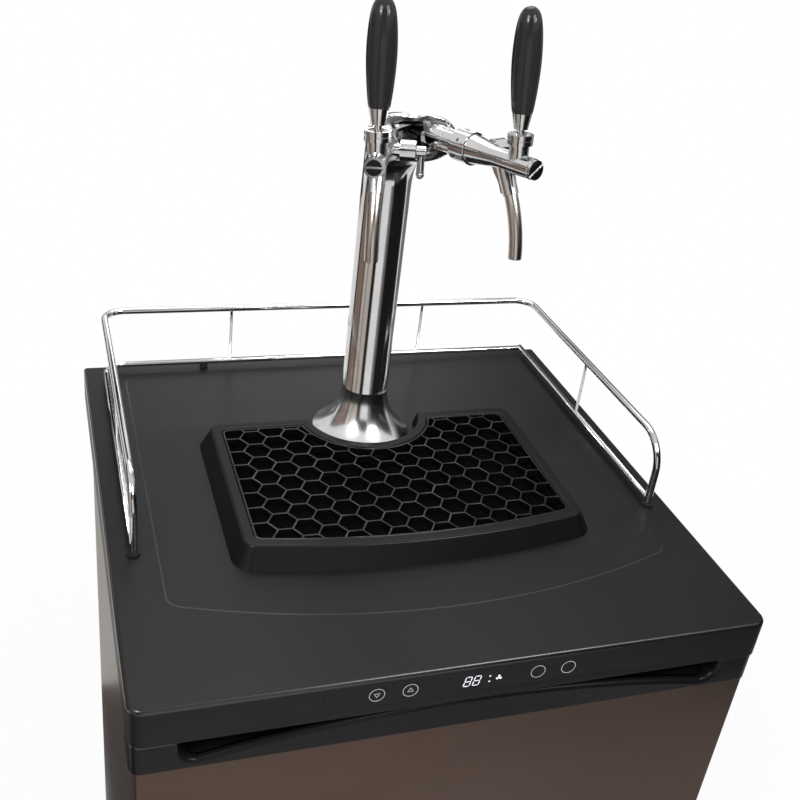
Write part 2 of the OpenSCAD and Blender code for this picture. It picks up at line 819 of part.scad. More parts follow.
// Moulded worktop with its band, its floor above the door and the raised panel
module worktop() {
    color(black_plastic) difference() {
        union() {
            difference() {
                translate([0, 0, cap_z0]) linear_extrude(cap_h) cap_outline(0);
                translate([0, 0, cap_z0 - 1]) linear_extrude(cap_h - cap_t + 1) cap_outline(cap_t);
            }
            translate([0, 0, cap_z0]) linear_extrude(soffit_t) intersection() {
                cap_outline(cap_t / 2);
                translate([-top_w / 2, front_y]) square([top_w, cab_yf - face_gap - front_y]);
            }
            translate([0, 0, top_z - lap]) linear_extrude(panel_h + lap) difference() {
                bowed(panel_w, panel_back, -panel_front, panel_bow, panel_r);
                for (s = [-1, 1])
                    translate([s * rail_x, -rail_front]) circle(d = foot_d + 2 * face_gap);
                translate([-block_x, rail_back]) circle(d = block_d + 2 * face_gap);
            }
            for (s = [-1, 1])
                translate([s * post_x, front_y + cap_t - lap, ctrl_z]) rotate([-90, 0, 0])
                    cylinder(h = board_y - front_y - cap_t + lap, d = post_d);
        }
        translate([0, front_y + strip_t, 0]) rotate([90, 0, 0]) linear_extrude(strip_t + 1) film_outline(seat_gap);
        at_buttons() translate([0, 0, -1]) cylinder(h = cap_t + 2, d = btn_d + 2 * btn_gap);
        box([-display_w / 2, front_y - 1, ctrl_z - display_h / 2],
            [display_w / 2, front_y + cap_t + 1, ctrl_z + display_h / 2]);
        tail_hole();
        for (s = [-1, 1])
            translate([s * rail_x, -rail_front, cab_z1 - 1]) cylinder(h = cap_t + 2, d = rail_d + 2 * seat_gap);
        translate([hinge_x, hinge_y, cap_z0 - 1]) cylinder(h = soffit_t + 2, d = hinge_pin + 2);
    }
}

// Printed film over the display, with holes for the buttons
module control_film() {
    color([0.14, 0.14, 0.15]) difference() {
        translate([0, front_y + strip_t, 0]) rotate([90, 0, 0]) linear_extrude(strip_t) film_outline(0);
        at_buttons() translate([0, 0, -1]) cylinder(h = strip_t + 2, d = btn_d + 2 * btn_gap);
    }
}

// Circuit board with the display and a switch behind each button
module control_board() {
    edge = 12;
    color([0.1, 0.3, 0.18]) {
        box([-post_x - edge, board_y, ctrl_z - strip_h / 2], [post_x + edge, board_y + board_t, ctrl_z + strip_h / 2]);
        box([-display_w / 2 + seat_gap, front_y + strip_t, ctrl_z - display_h / 2 + seat_gap],
            [display_w / 2 - seat_gap, board_y + lap, ctrl_z + display_h / 2 - seat_gap]);
        for (x = btn_x)
            box([x - 3, switch_y, ctrl_z - 3], [x + 3, board_y + lap, ctrl_z + 3]);
    }
}

// Push button with a flange that keeps it behind the band
module button(i) {
    z = cap_t + face_gap;
    color(black_plastic) translate([btn_x[i], front_y, ctrl_z]) rotate([-90, 0, 0]) {
        cylinder(h = btn_back - front_y, d = btn_d);
        translate([0, 0, z]) cylinder(h = btn_flange, d = btn_d + 3);
    }
}
module button_1() { button(0); }
module button_2() { button(1); }
module button_3() { button(2); }
module button_4() { button(3); }

// Straight side rail on the right, at height z, from y0 to y1
module side_rail(z, d, y0, y1) {
    translate([rail_x, y1, top_z + z]) rotate([90, 0, 0]) cylinder(h = y1 - y0, d = d);
}

// Straight back rail at height z, from x0 to x1
module back_rail(z, d, x0, x1) {
    translate([x0, rail_back, top_z + z]) rotate([0, 90, 0]) cylinder(h = x1 - x0, d = d);
}

// Bend at the right back corner, at height z
module back_bend(z, d) {
    translate([rail_x - rail_r, rail_back - rail_r, top_z + z]) quarter_bend(rail_r, d);
}

// Upper rail round the back and both sides, with its diameter grown
module upper_run(grow) {
    d = rail_d + 2 * grow;
    for (s = [0, 1]) mirror([s, 0, 0]) {
        side_rail(rail_z, d, rail_bend - rail_front, rail_back - rail_r);
        back_bend(rail_z, d);
    }
    back_rail(rail_z, d, rail_r - rail_x, rail_x - rail_r);
}

// Upright post and bend at each front end of the upper rail
module rail_posts(grow) {
    for (s = [-1, 1])
        translate([s * rail_x, -rail_front, 0]) {
            translate([0, 0, cab_z1]) cylinder(h = cap_t + rail_z - rail_bend, d = rail_d + 2 * grow);
            translate([0, rail_bend, top_z + rail_z - rail_bend]) rotate([0, -90, 0]) rotate(-90)
                quarter_bend(rail_bend, rail_d + 2 * grow);
        }
}

module rail_upper() {
    color(chrome_grey) {
        upper_run(0);
        rail_posts(0);
    }
}

// Welded lower rail, bent at the left back corner and butted at the right one, with its thin struts
module rail_lower() {
    weld_gap = 0.02;
    side_end = rail_back - rail_r - weld_gap;
    right_end = rail_back + low_d / 2;
    strut_h = rail_z - low_z;
    color(chrome_grey) difference() {
        union() {
            mirror([1, 0, 0]) {
                side_rail(low_z, low_d, -rail_front, side_end);
                back_bend(low_z, low_d);
            }
            side_rail(low_z, low_d, -rail_front, right_end);
            difference() {
                back_rail(low_z, low_d, rail_r - rail_x + weld_gap, rail_x);
                side_rail(low_z, low_d + 2 * weld_gap, 0, right_end + 1);
            }
            for (s = [-1, 1]) {
                translate([s * rail_x, strut_y, top_z + low_z]) cylinder(h = strut_h, d = strut_d);
                translate([s * strut_x, rail_back, top_z + low_z]) cylinder(h = strut_h, d = strut_d);
            }
        }
        rail_posts(weld_gap);
        upper_run(weld_gap);
    }
}

// Rubber feet round the front posts and a block under the back rail
module rail_feet() {
    color(rubber_black) difference() {
        union() {
            for (s = [-1, 1])
                translate([s * rail_x, -rail_front, top_z]) cylinder(h = foot_h, d = foot_d);
            translate([-block_x, rail_back, top_z]) cylinder(h = low_z, d = block_d);
        }
        for (s = [-1, 1])
            translate([s * rail_x, -rail_front, top_z - 1]) cylinder(h = foot_h + 2, d = rail_d + 2 * seat_gap);
        for (s = [0, 1]) mirror([s, 0, 0])
            side_rail(low_z, low_d + 2 * seat_gap, -rail_front, 0);
        back_rail(low_z, low_d + 2 * seat_gap, -rail_x, 0);
    }
}

// Outline inside the tray's rim, moved in by d, with the notch round the tower
module tray_outline(d, r) {
    difference() {
        bowed(tray_w - 2 * d, tower_y - tray_back - d, tower_y - tray_front + d, tray_bow - d, r);
        translate([0, tower_y]) circle(notch_r + d);
    }
}

module drip_tray() {
    grate_z = tray_h - grate_sink - grate_h;
    color(black_plastic) translate([0, 0, top_face]) difference() {
        bowed_taper(tray_w, tower_y - tray_back, tower_y - tray_front, tray_bow, tray_r, tray_h, tray_skirt);
        translate([0, tower_y, -1]) cylinder(h = tray_h + 2, r = notch_r);
        translate([0, 0, grate_z]) linear_extrude(tray_h) tray_outline(rim_w, 8);
        translate([0, 0, tray_floor]) linear_extrude(tray_h) tray_outline(rim_w + ledge_w, 5);
    }
}

// Honeycomb grate that drops into the tray
module cells() {
    step = cell_pitch * sqrt(3) / 2;
    n = ceil(tray_w / 2 / step);
    m = ceil(tray_front / cell_pitch);
    for (i = [-n:n], j = [0:m])
        translate([i * step, tower_y - tray_front + (j + (i % 2 == 0 ? 0 : 0.5)) * cell_pitch])
            circle((cell_pitch - cell_wall) / sqrt(3), $fn = 6);
}

module drip_grate() {
    edge = rim_w + grate_gap;
    color(black_plastic) translate([0, 0, top_face + tray_h - grate_sink - grate_h]) linear_extrude(grate_h)
        difference() {
            tray_outline(edge, 7.6);
            intersection() {
                tray_outline(edge + grate_frame, 6);
                cells();
            }
        }
}

// Flared foot with the threaded tail that goes through the cabinet's top
module tower_foot() {
    r = column_d / 2;
    run = flange_r - r;
    rise = flare_h - flange_t;
    bow = (run * run + rise * rise) / (2 * run);
    spigot = r - column_t - seat_gap;
    color(chrome_grey) translate([0, tower_y, 0]) difference() {
        union() {
            translate([0, 0, top_face]) rotate_extrude() difference() {
                polygon([[0, 0], [flange_r, 0], [flange_r, flange_t], [r, flare_h], [0, flare_h]]);
                translate([r + bow, flare_h]) circle(bow, $fn = 128);
            }
            translate([0, 0, column_z0 - lap]) cylinder(h = 15 + lap, r = spigot);
            translate([0, 0, tail_z0]) cylinder(h = top_face - tail_z0 + lap, d = tail_d);
        }
        translate([0, 0, tail_z0 - 1]) cylinder(h = column_z0 - tail_z0 + 20, d = tail_bore);
    }
}

module tower_column() {
    color(chrome_grey) translate([0, tower_y, column_z0]) difference() {
        cylinder(h = column_z1 - column_z0, d = column_d);
        translate([0, 0, -1]) cylinder(h = column_z1 - column_z0 + 2, d = column_d - 2 * column_t);
    }
}

// Hood sections from the column to the open front: forward shift and rise of the middle, tilt, growth of the
// half width and half height over the column's radius, and squareness of the outline
hood_path = [[0, 0, 0, 0, 0, 2], [0.5, 20, 5, 0, 0, 2], [4, 40, 18, 1, 1, 2], [12, 57, 38, 3.5, 1, 2.1],
    [24, 68.5, 58, 7.5, 0, 2.2], [38, 73, 74, 13, -1.5, 2.3], [51, 77, 83, 18, -2, 2.4], [62, 81, 88, 21, -2, 2.5]];
hood_points = 48;
hood_steps = 3;

// Smooth curve through the hood's sections
function hood_at(t) =
    let (m = len(hood_path) - 1, k = min(floor(t), m - 1), u = t - k,
        p0 = hood_path[max(k - 1, 0)], p1 = hood_path[k], p2 = hood_path[k + 1], p3 = hood_path[min(k + 2, m)])
    p1 + u / 2 * (p2 - p0 + u * (2 * p0 - 5 * p1 + 4 * p2 - p3 + u * (3 * (p1 - p2) + p3 - p0)));
function squared(c, n) = sign(c) * pow(abs(c), 2 / n);

// Outline of the hood at t, moved in by o
function hood_ring(t, o) = let (p = hood_at(t), r = column_d / 2 - o)
    [for (i = [0:hood_points - 1])
        let (a = 360 * i / hood_points, v = (r + p[4]) * squared(sin(a), p[5]))
        [(r + p[3]) * squared(cos(a), p[5]), v * cos(p[2]) - p[0], v * sin(p[2]) + p[1]]];

// Hood over the two arms: a bent trumpet that opens to the front
module tower_hood() {
    n = hood_points;
    last = (len(hood_path) - 1) * hood_steps;
    rings = concat([for (k = [0:last]) hood_ring(k / hood_steps, 0)],
        [for (k = [last:-1:0]) hood_ring(k / hood_steps, hood_t)]);
    m = len(rings);
    color(chrome_grey) translate([0, tower_y, column_z1])
        polyhedron([for (ring = rings, p = ring) p], [for (k = [0:m - 1], i = [0:n - 1], t = [0, 1])
            let (j = (i + 1) % n, up = (k + 1) % m)
            t == 0 ? [k * n + i, up * n + i, k * n + j] : [k * n + j, up * n + i, up * n + j]]);
}

// Block inside the hood that the arms screw into, on a post that stands in the column
module tower_block() {
    seat = 14;
    seat_h = 8;
    post = [15, 14, 7];
    post_h = 60;
    link = [14, 27, 1];
    link_z0 = 50;
    link_z1 = 75;
    boss_d = 19;
    boss_back = 15;
    boss_r = 16;
    feed_lean = 34;
    feed_l = 33;
    color(chrome_grey) difference() {
        union() {
            translate([0, tower_y, column_z1]) {
                translate([0, 0, -seat]) cylinder(h = seat_h, d = column_d - 2 * column_t - 2 * seat_gap);
                box([-post.x, -post.y, -seat], [post.x, post.z, post_h]);
                box([-link.x, -link.y, link_z0], [link.x, -link.z, link_z1]);
            }
            for (s = [-1, 1]) tap_line(s) along(boss_r, arm_r0, boss_back, boss_d);
        }
        for (s = [-1, 1]) {
            tap_line(s) along(boss_r + 1, arm_r0 + 1, pipe_d, pipe_d);
            translate([s * pipe_x, tower_y, column_z1 - seat - 1])
                cylinder(h = seat + pipe_rise + 1, d = pipe_d + 2 * seat_gap);
            translate([s * pipe_x, tower_y, pipe_z1]) rotate([feed_lean, 0, 0])
                cylinder(h = feed_l, d = pipe_bore);
        }
    }
}

// Nut that clamps the tower from inside the keg space
module tower_nut() {
    color(dark_metal) translate([0, tower_y, nut_z]) difference() {
        cylinder(h = tail_nut, d = tail_d + 28, $fn = 6);
        translate([0, 0, -1]) cylinder(h = tail_nut + 2, d = tail_d + 2 * seat_gap);
    }
}

// Steel drink pipes from the keg space to the arms
module drink_pipes() {
    color(chrome_grey) for (s = [-1, 1])
        translate([s * pipe_x, tower_y, 0]) difference() {
            union() {
                translate([0, 0, hose_z0]) cylinder(h = hose_l, d = hose_d);
                translate([0, 0, hose_z0]) cylinder(h = pipe_z1 - hose_z0, d = pipe_d);
            }
            translate([0, 0, hose_z0 - 1]) cylinder(h = pipe_z1 - hose_z0 + 2, d = pipe_bore);
        }
}

// Line of a tap: its axis runs along -Y from the tower's axis, s is -1 on the left and 1 on the right
module tap_line(s) {
    translate([0, tower_y, tap_z]) rotate(s * tap_ang) rotate([-tap_tilt, 0, 0]) children();
}

// Frame of a tap, which leans sideways about its line on the left
module tap_frame(s) {
    tap_line(s) rotate([0, s < 0 ? -tap_roll : 0, 0]) children();
}

// Round bar along a tap's axis, from distance r0 to r1
module along(r0, r1, d0, d1) {
    translate([0, -r0, 0]) rotate([90, 0, 0]) cylinder(h = r1 - r0, d1 = d0, d2 = d1);
}

module arm(s) {
    groove = 0.6;
    groove_r = arm_r1 - 16;
    flange_r0 = arm_r0 + flange_in;
    flange_w = 2;
    color(chrome_grey) tap_frame(s) difference() {
        union() {
            along(arm_r0, arm_r1, arm_d, arm_d);
            along(flange_r0, flange_r0 + flange_w, arm_flange, arm_flange);
            along(arm_r1 - lap, thread_r - face_gap / 2, thread_d, thread_d);
        }
        along(arm_r0 - 1, arm_r1 + nut_l, pipe_d, pipe_d);
        difference() {
            along(groove_r, groove_r + 1, arm_d + 2, arm_d + 2);
            along(groove_r - 1, groove_r + 2, arm_d - 2 * groove, arm_d - 2 * groove);
        }
    }
}
module arm_left() { arm(-1); }
module arm_right() { arm(1); }

// Coupling nuts with holes for a hook spanner
module coupling_nuts() {
    hole = 3.4;
    color(chrome_grey) for (s = [-1, 1]) tap_frame(s) difference() {
        along(nut_r0, nut_r1, nut_d, nut_d);
        along(nut_r0 - 1, nut_r1 + 1, thread_d + 2 * seat_gap, thread_d + 2 * seat_gap);
        for (a = [0:60:300])
            translate([0, -nut_r0 - nut_l / 2, 0]) rotate([0, a, 0]) translate([0, 0, nut_d / 2 - 2.5])
                cylinder(h = 4, d = hole);
    }
}

// Places along a tap: the lever and its pivot, the flow control and the spout's socket
module at_lever() {
    translate([0, -lever_r, 0]) children();
}
module at_pivot() {
    at_lever() translate([0, 0, pivot_z]) children();
}
module at_socket() {
    translate([0, -socket_r, 0]) rotate([180 - spout_ang, 0, 0]) children();
}
module at_flow() {
    translate([0, -flow_r, 0]) rotate([0, 90, 0]) children();
}

// Curved web between the barrel and the spout's socket
module web() {
    back = body_r0 + body_taper * 0.7;
    tip = [socket_r + socket_l * sin(spout_ang), -socket_l * cos(spout_ang)];
    bend = 33;
    start = back - 10;
    translate([-web_t / 2, 0, 0]) rotate([90, 0, -90]) mirror([0, 0, 1]) linear_extrude(web_t) difference() {
        polygon([[back, 0], [socket_r + 6, 0], [tip.x, tip.y], [tip.x - socket_d / 2 - 3, tip.y - 1]]);
        translate([start, -bend - body_d1 / 2 + 2]) circle(bend, $fn = 128);
    }
}

// Pivot pins of the lever with their length and diameter grown
module pivot_pins(long, wide) {
    rotate([0, 90, 0]) translate([0, 0, -pin_l / 2 - long]) cylinder(h = pin_l + 2 * long, d = pin_d + 2 * wide);
}

// Slot that the lever's pivot pins drop into from above
module pin_slot() {
    x = pin_l / 2 + face_gap;
    y = pin_d / 2 + run_gap;
    pivot_pins(face_gap, run_gap);
    box([-x, -y, 0], [x, y, pivot_z]);
}

module tap(s) {
    seat_z = pivot_z - ball_d / 2 - face_gap;
    color(chrome_grey) tap_frame(s) difference() {
        union() {
            along(thread_r + face_gap / 2, body_r0 + lap, thread_d, thread_d);
            along(body_r0, body_r0 + body_taper, body_d0, body_d1);
            along(body_r0 + body_taper - lap, barrel_r1, body_d1, body_d1);
            at_lever() cylinder(h = collar_z0, d = bonnet_d);
            at_socket() cylinder(h = socket_l - sleeve_l, d = socket_d);
            at_socket() cylinder(h = socket_l, d = spout_d + 2 * seat_gap + 2 * sleeve_t);
            web();
            at_flow() cylinder(h = flow_out - flow_w + lap, d = flow_d * 0.6);
            at_flow() translate([0, 0, flow_out - flow_w]) cylinder(h = flow_w, d = flow_d);
        }
        along(thread_r, rod_r0, pipe_d - 1, pipe_d - 1);
        along(rod_r0 - rod_travel - 1, barrel_r1 + 1, rod_d + 2 * run_gap, rod_d + 2 * run_gap);
        along(barrel_r1 - 6, barrel_r1 + 1, rod_d + 3, rod_d + 3);
        at_lever() {
            translate([0, 0, seat_z]) cylinder(h = collar_z0, d = ball_d + 2 * face_gap + 0.2);
            box([-finger_d / 2 - 0.7, -finger_d / 2 - 0.7, 0], [finger_d / 2 + 0.7, 8.4, seat_z + 1]);
        }
        at_pivot() pin_slot();
        at_socket() translate([0, 0, 3]) cylinder(h = socket_l, d = spout_bore - 1);
        at_socket() translate([0, 0, socket_l - 8]) cylinder(h = 9, d = spout_d + 2 * seat_gap);
        at_flow() translate([0, 0, rod_d / 2 + 2]) cylinder(h = flow_out, d = shaft_d + 2 * run_gap);
    }
}
module tap_left() { tap(-1); }
module tap_right() { tap(1); }

// Collars that hold the levers' balls down
module lever_collars() {
    throat = 12.6;
    lip = 2.5;
    mouth = 18.2;
    color(chrome_grey) for (s = [-1, 1]) tap_frame(s) at_lever() translate([0, 0, collar_z0]) difference() {
        cylinder(h = collar_h, d = collar_d);
        translate([0, 0, -1]) cylinder(h = collar_h, d = throat);
        translate([0, 0, lip]) cylinder(h = collar_h - lip, d1 = throat, d2 = mouth);
        translate([0, 0, collar_h - 0.01]) cylinder(h = 1, d = mouth);
        difference() {
            translate([0, 0, collar_h * 0.45]) cylinder(h = 1, d = collar_d + 2);
            translate([0, 0, collar_h * 0.45 - 1]) cylinder(h = 3, d = collar_d - 1.2);
        }
    }
}

// Slotted plugs that close the front of the barrels
module nose_plugs() {
    slot = 2;
    color(chrome_grey) for (s = [-1, 1]) tap_frame(s) difference() {
        union() {
            along(barrel_r1 - 5.8, barrel_r1 + lap, rod_d + 3 - 2 * seat_gap, rod_d + 3 - 2 * seat_gap);
            along(barrel_r1, barrel_r1 + nose_t, nose_d, nose_d);
        }
        rotate([0, s < 0 ? 0 : -plug_turn, 0])
            box([-nose_d, -barrel_r1 - nose_t - 1, -slot / 2], [nose_d, -barrel_r1 - nose_t + 1.2, slot / 2]);
    }
}

// Spout: a short straight end in the socket, then a curve that ends almost upright
module spout(s) {
    seat = 7.5;
    color(chrome_grey) tap_frame(s) at_socket() translate([0, 0, socket_l - seat]) {
        difference() {
            cylinder(h = seat, d = spout_d);
            translate([0, 0, -1]) cylinder(h = seat + 2, d = spout_bore);
        }
        translate([0, -spout_bend, seat]) rotate([90, 0, 90]) rotate_extrude(angle = spout_turn)
            translate([spout_bend, 0]) difference() {
                circle(spout_d / 2);
                circle(spout_bore / 2);
            }
    }
}
module spout_left() { spout(-1); }
module spout_right() { spout(1); }

// Lever: finger, ball, stem and the ferrule under the handle
module lever(s) {
    color(chrome_grey) tap_frame(s) at_pivot() {
        sphere(ball_d / 2);
        pivot_pins(0, 0);
        translate([0, 0, -pivot_z]) cylinder(h = pivot_z, d = finger_d);
        translate([0, 0, -pivot_z]) sphere(finger_d / 2);
        rotate([-lever_lean, 0, 0]) {
            cylinder(h = ferrule_up + lap, d = stem_d);
            translate([0, 0, ferrule_up]) cylinder(h = ferrule_h, d1 = ferrule_d0, d2 = ferrule_d1);
            translate([0, 0, ferrule_up + ferrule_h - lap]) cylinder(h = handle_l * 0.4, d = stem_d);
        }
    }
}
module lever_left() { lever(-1); }
module lever_right() { lever(1); }

// Turned handle with a swelling two fifths of the way up and a round top
module handle(s) {
    swell = 0.55 * handle_l;
    top = handle_d2 / 2;
    bore = handle_l * 0.4 + 1;
    color(rubber_black) tap_frame(s) at_pivot() rotate([-lever_lean, 0, 0]) translate([0, 0, ferrule_up + ferrule_h])
        difference() {
            union() {
                cylinder(h = swell, d1 = handle_d0, d2 = handle_d1);
                translate([0, 0, swell]) cylinder(h = handle_l - swell - top * 0.6, d1 = handle_d1, d2 = handle_d2);
                translate([0, 0, handle_l - top]) intersection() {
                    sphere(top * 1.077);
                    cylinder(h = top, d = 3 * top);
                }
            }
            translate([0, 0, -1]) cylinder(h = bore, d = stem_d + 2 * seat_gap);
        }
}
module handle_left() { handle(-1); }
module handle_right() { handle(1); }

// Valve rod that the lever's finger pushes along the barrel
module valve_rod(s) {
    play = 0.6;
    half = finger_d / 2 + play;
    lean = rod_d / 2 * tan(lever_turn);
    color(chrome_grey) tap_frame(s) difference() {
        along(rod_r0, rod_r1, rod_d, rod_d);
        at_lever() {
            box([-rod_d, -half, -half], [rod_d, half, rod_d]);
            box([-rod_d, -half - lean, play], [rod_d, half, rod_d]);
        }
        translate([0, -socket_r, -rod_d])
            box([-rod_d, -rod_d * 0.6, 0], [rod_d, rod_d * 0.4, rod_d * 0.6]);
    }
}
module valve_rod_left() { valve_rod(-1); }
module valve_rod_right() { valve_rod(1); }

// Flow lever on the right of each tap, hanging from its shaft
module flow_lever(s) {
    hub = 9;
    hub_d = flow_lever_d + 3;
    color(chrome_grey) tap_frame(s) {
        at_flow() translate([0, 0, rod_d / 2 + 2.5]) cylinder(h = flow_out - rod_d / 2, d = shaft_d);
        at_flow() translate([0, 0, flow_out + face_gap]) cylinder(h = hub, d = hub_d);
        translate([flow_out + face_gap + hub / 2, -flow_r, 0]) {
            mirror([0, 0, 1]) cylinder(h = flow_lever, d = flow_lever_d);
            translate([0, 0, -flow_lever]) sphere(flow_lever_d / 2 + 0.4);
        }
    }
}
module flow_lever_left() { flow_lever(-1); }
module flow_lever_right() { flow_lever(1); }

// Places of the casters: front left, front right, rear left and rear right
caster_at = [[-caster_x, -caster_yf], [caster_x, -caster_yf], [-caster_x, caster_yb], [caster_x, caster_yb]];
plate_z = caster_h - plate_t;
disc_t = 4.5;
disc_z = plate_z - face_gap - disc_t;
king_head = 2.5;
fork_in = wheel_w / 2 + 1;
fork_t = 2.5;

// Caster plates with the kingpins that the forks turn on
module caster_plates() {
    color(chrome_grey) for (p = caster_at) translate([p.x, p.y, 0]) {
        translate([0, 0, plate_z]) linear_extrude(plate_t) rounded(plate_w, plate_w, 6);
        translate([0, 0, disc_z - face_gap]) cylinder(h = plate_z - disc_z + face_gap + lap, d = king_d);
        translate([0, 0, disc_z - face_gap - king_head]) cylinder(h = king_head, d = king_d + 6);
    }
}

module caster_fork(i) {
    axle_z = wheel_d / 2;
    boss = axle_d + 8;
    color(chrome_grey) translate([caster_at[i].x, caster_at[i].y, 0]) {
        difference() {
            translate([0, 0, disc_z]) cylinder(h = disc_t, d = 42);
            translate([0, 0, disc_z - 1]) cylinder(h = disc_t + 2, d = king_d + 2 * run_gap);
        }
        for (s = [-1, 1])
            translate([s * (fork_in + fork_t / 2) - fork_t / 2, 0, 0]) rotate([90, 0, 90]) linear_extrude(fork_t) {
                polygon([[-12, disc_z + 1], [16, disc_z + 1], [trail + boss / 2, axle_z], [trail - boss / 2, axle_z]]);
                translate([trail, axle_z]) circle(boss / 2);
            }
        translate([-fork_in - lap, trail, axle_z]) rotate([0, 90, 0]) cylinder(h = 2 * fork_in + 2 * lap, d = axle_d);
    }
}
module caster_fork_1() { caster_fork(0); }
module caster_fork_2() { caster_fork(1); }
module caster_fork_3() { caster_fork(2); }
module caster_fork_4() { caster_fork(3); }

module caster_wheel(i) {
    tread = wheel_w * 0.18;
    color(rubber_black) translate([caster_at[i].x - wheel_w / 2, caster_at[i].y + trail, wheel_d / 2])
        rotate([0, 90, 0]) difference() {
            union() {
                translate([0, 0, tread]) cylinder(h = wheel_w - 2 * tread, d = wheel_d);
                cylinder(h = tread, d1 = wheel_d - 2 * tread, d2 = wheel_d);
                translate([0, 0, wheel_w - tread]) cylinder(h = tread, d1 = wheel_d, d2 = wheel_d - 2 * tread);
            }
            translate([0, 0, -1]) cylinder(h = wheel_w + 2, d = axle_d + 2 * run_gap);
        }
}
module caster_wheel_1() { caster_wheel(0); }
module caster_wheel_2() { caster_wheel(1); }
module caster_wheel_3() { caster_wheel(2); }
module caster_wheel_4() { caster_wheel(3); }

cabinet_shell();
insulation_foam();
inner_liner();
back_panel();
base_plate();
compressor();
fan_housing();
fan_rotor();
cord_gland();
hinge_top();
hinge_bottom();
door_panel();
door_foam();
door_liner();
door_gasket();
door_trim();
worktop();
control_film();
control_board();
button_1();
button_2();
button_3();
button_4();
rail_upper();
rail_lower();
rail_feet();
drip_tray();
drip_grate();
tower_foot();
tower_column();
tower_hood();
tower_block();
tower_nut();
drink_pipes();
arm_left();
arm_right();
coupling_nuts();
tap_left();
tap_right();
lever_collars();
nose_plugs();
spout_left();
spout_right();
lever_left();
lever_right();
handle_left();
handle_right();
valve_rod_left();
valve_rod_right();
flow_lever_left();
flow_lever_right();
caster_plates();
caster_fork_1();
caster_fork_2();
caster_fork_3();
caster_fork_4();
caster_wheel_1();
caster_wheel_2();
caster_wheel_3();
caster_wheel_4();
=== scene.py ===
import json
import math

import bmesh
import bpy
from mathutils import Matrix, Vector


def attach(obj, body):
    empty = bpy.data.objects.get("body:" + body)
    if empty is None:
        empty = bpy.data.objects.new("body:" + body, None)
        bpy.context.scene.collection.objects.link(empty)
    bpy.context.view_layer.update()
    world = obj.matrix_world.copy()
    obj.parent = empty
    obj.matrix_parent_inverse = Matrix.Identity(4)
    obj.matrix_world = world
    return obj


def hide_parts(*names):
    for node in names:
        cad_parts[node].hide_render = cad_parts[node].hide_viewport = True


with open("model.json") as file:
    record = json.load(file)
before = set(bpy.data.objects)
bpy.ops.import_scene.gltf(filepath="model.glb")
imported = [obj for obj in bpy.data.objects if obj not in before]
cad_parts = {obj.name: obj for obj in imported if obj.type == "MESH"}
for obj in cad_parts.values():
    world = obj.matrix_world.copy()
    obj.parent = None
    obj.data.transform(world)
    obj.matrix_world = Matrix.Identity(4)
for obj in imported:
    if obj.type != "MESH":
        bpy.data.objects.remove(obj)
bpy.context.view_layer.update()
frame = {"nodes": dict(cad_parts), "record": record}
nodes = frame["nodes"]
body_of = {n: b for b, members in frame["record"]["behaviour"]["bodies"].items() for n in members}

# Sizes shared with the CAD part, in metres
TOP_Z = 0.885  # edge of the worktop
PANEL_Z = 0.886  # raised panel of the worktop
BAND_Z = 0.844  # foot of the worktop's band
FRONT_Y = -0.291  # front of the machine
RAIL_POST = (0.278, -0.088)  # front foot of the rail at the right; the left one is its mirror image
TRIM_Y = -0.2885  # front of the door trim
TRIM_TOP = 0.842
TRIM_FOOT = 0.809
TRIM_HALF = 0.2985  # half of the trim's width
PAN_Y = -0.2865  # front of the door pan
CONTROL_Z = 0.8655  # middle of keys and display
BUTTON_X = (-0.0935, -0.063, 0.059, 0.0895)
TRAY_Z = 0.908  # top of the drip tray
GRATE_Z = 0.907  # top of the grate
TOWER_Y = 0.108
COLUMN_TOP = 1.170
TAP_Z = 1.249
TAP_TURN = math.radians(22)
TAP_TILT = math.radians(3.3)
TAP_ROLL = {-1: math.radians(-3.5), 1: 0.0}  # left and right
LEVER_OUT = 0.1773  # from the tower's axis to the lever
PIVOT_UP = 0.015
LEVER_LEAN = math.radians(-3)
HANDLE_UP = 0.030  # from the pivot to the handle
NOSE_OUT = 0.2013  # from the tower's axis to the nose plug
LINER_Y = -0.23195  # the liner's front frame lies before this, its panels behind

# Radii of rounded edges, in metres
TOP_ROUND = 0.0038
BAND_ROUND = 0.0015
TRIM_END_ROUND = 0.011
LIP_ROUND = 0.005
TRIM_FOOT_ROUND = 0.002
TRIM_TOP_ROUND = 0.0015
PAN_ROUND = 0.003
TRAY_ROUND = 0.0022
TRAY_FOOT_ROUND = 0.0012
GRATE_ROUND = 0.0005

# Limits that pick edges out, in metres
OUTLINE_X = 0.28  # beyond these two lie the edges of the worktop's outline
OUTLINE_Y = 0.27
POST_CLEAR = 0.01  # edges this near a rail foot stay as they are
TOWER_CLEAR = 0.1  # and so do panel edges this near the tower
GRIP_HALF = 0.262  # half of the finger grip's width
TRIM_FRONT = -0.27  # edges before this belong to the trim's front
PAN_TOP = 0.8  # the pan's edge above this is behind the trim

# Changes of form that the photo shows
PANEL_SLOPE = 0.991  # share to which the raised panel's upper edge is drawn in
PANEL_MID_Y = -0.0235
TRIM_WIDER = 1.010
PAN_WIDER = 1.008

# Print on the control film, in metres
PRINT_Y = FRONT_Y - 0.00004
PRINT_DEPTH = 0.00006
RING_R = 0.0072
RING_LINE = 0.0006
ARROW_R = 0.0034
ARROW_LINE = 0.0010
FIGURE_X = (-0.0095, -0.0008)
FIGURE_W = 0.0057
FIGURE_H = 0.0106
FIGURE_LEAN = 0.2
BAR = 0.0010  # width of a figure's bars
FLAT_GAP = 0.0005  # by which level and upright bars are shorter than the figure's side
UPRIGHT_GAP = 0.0004
FAN_X = 0.0205  # the fan sign: three blades and a hub
BLADE_R = 0.0012
BLADE_OUT = 0.0019
HUB_R = 0.0007
HUB_LINE = 0.0004
DOT_X = 0.0115  # two small rings beside the figures
DOT_UP = 0.0032
DOT_R = 0.0009
DOT_LINE = 0.0005

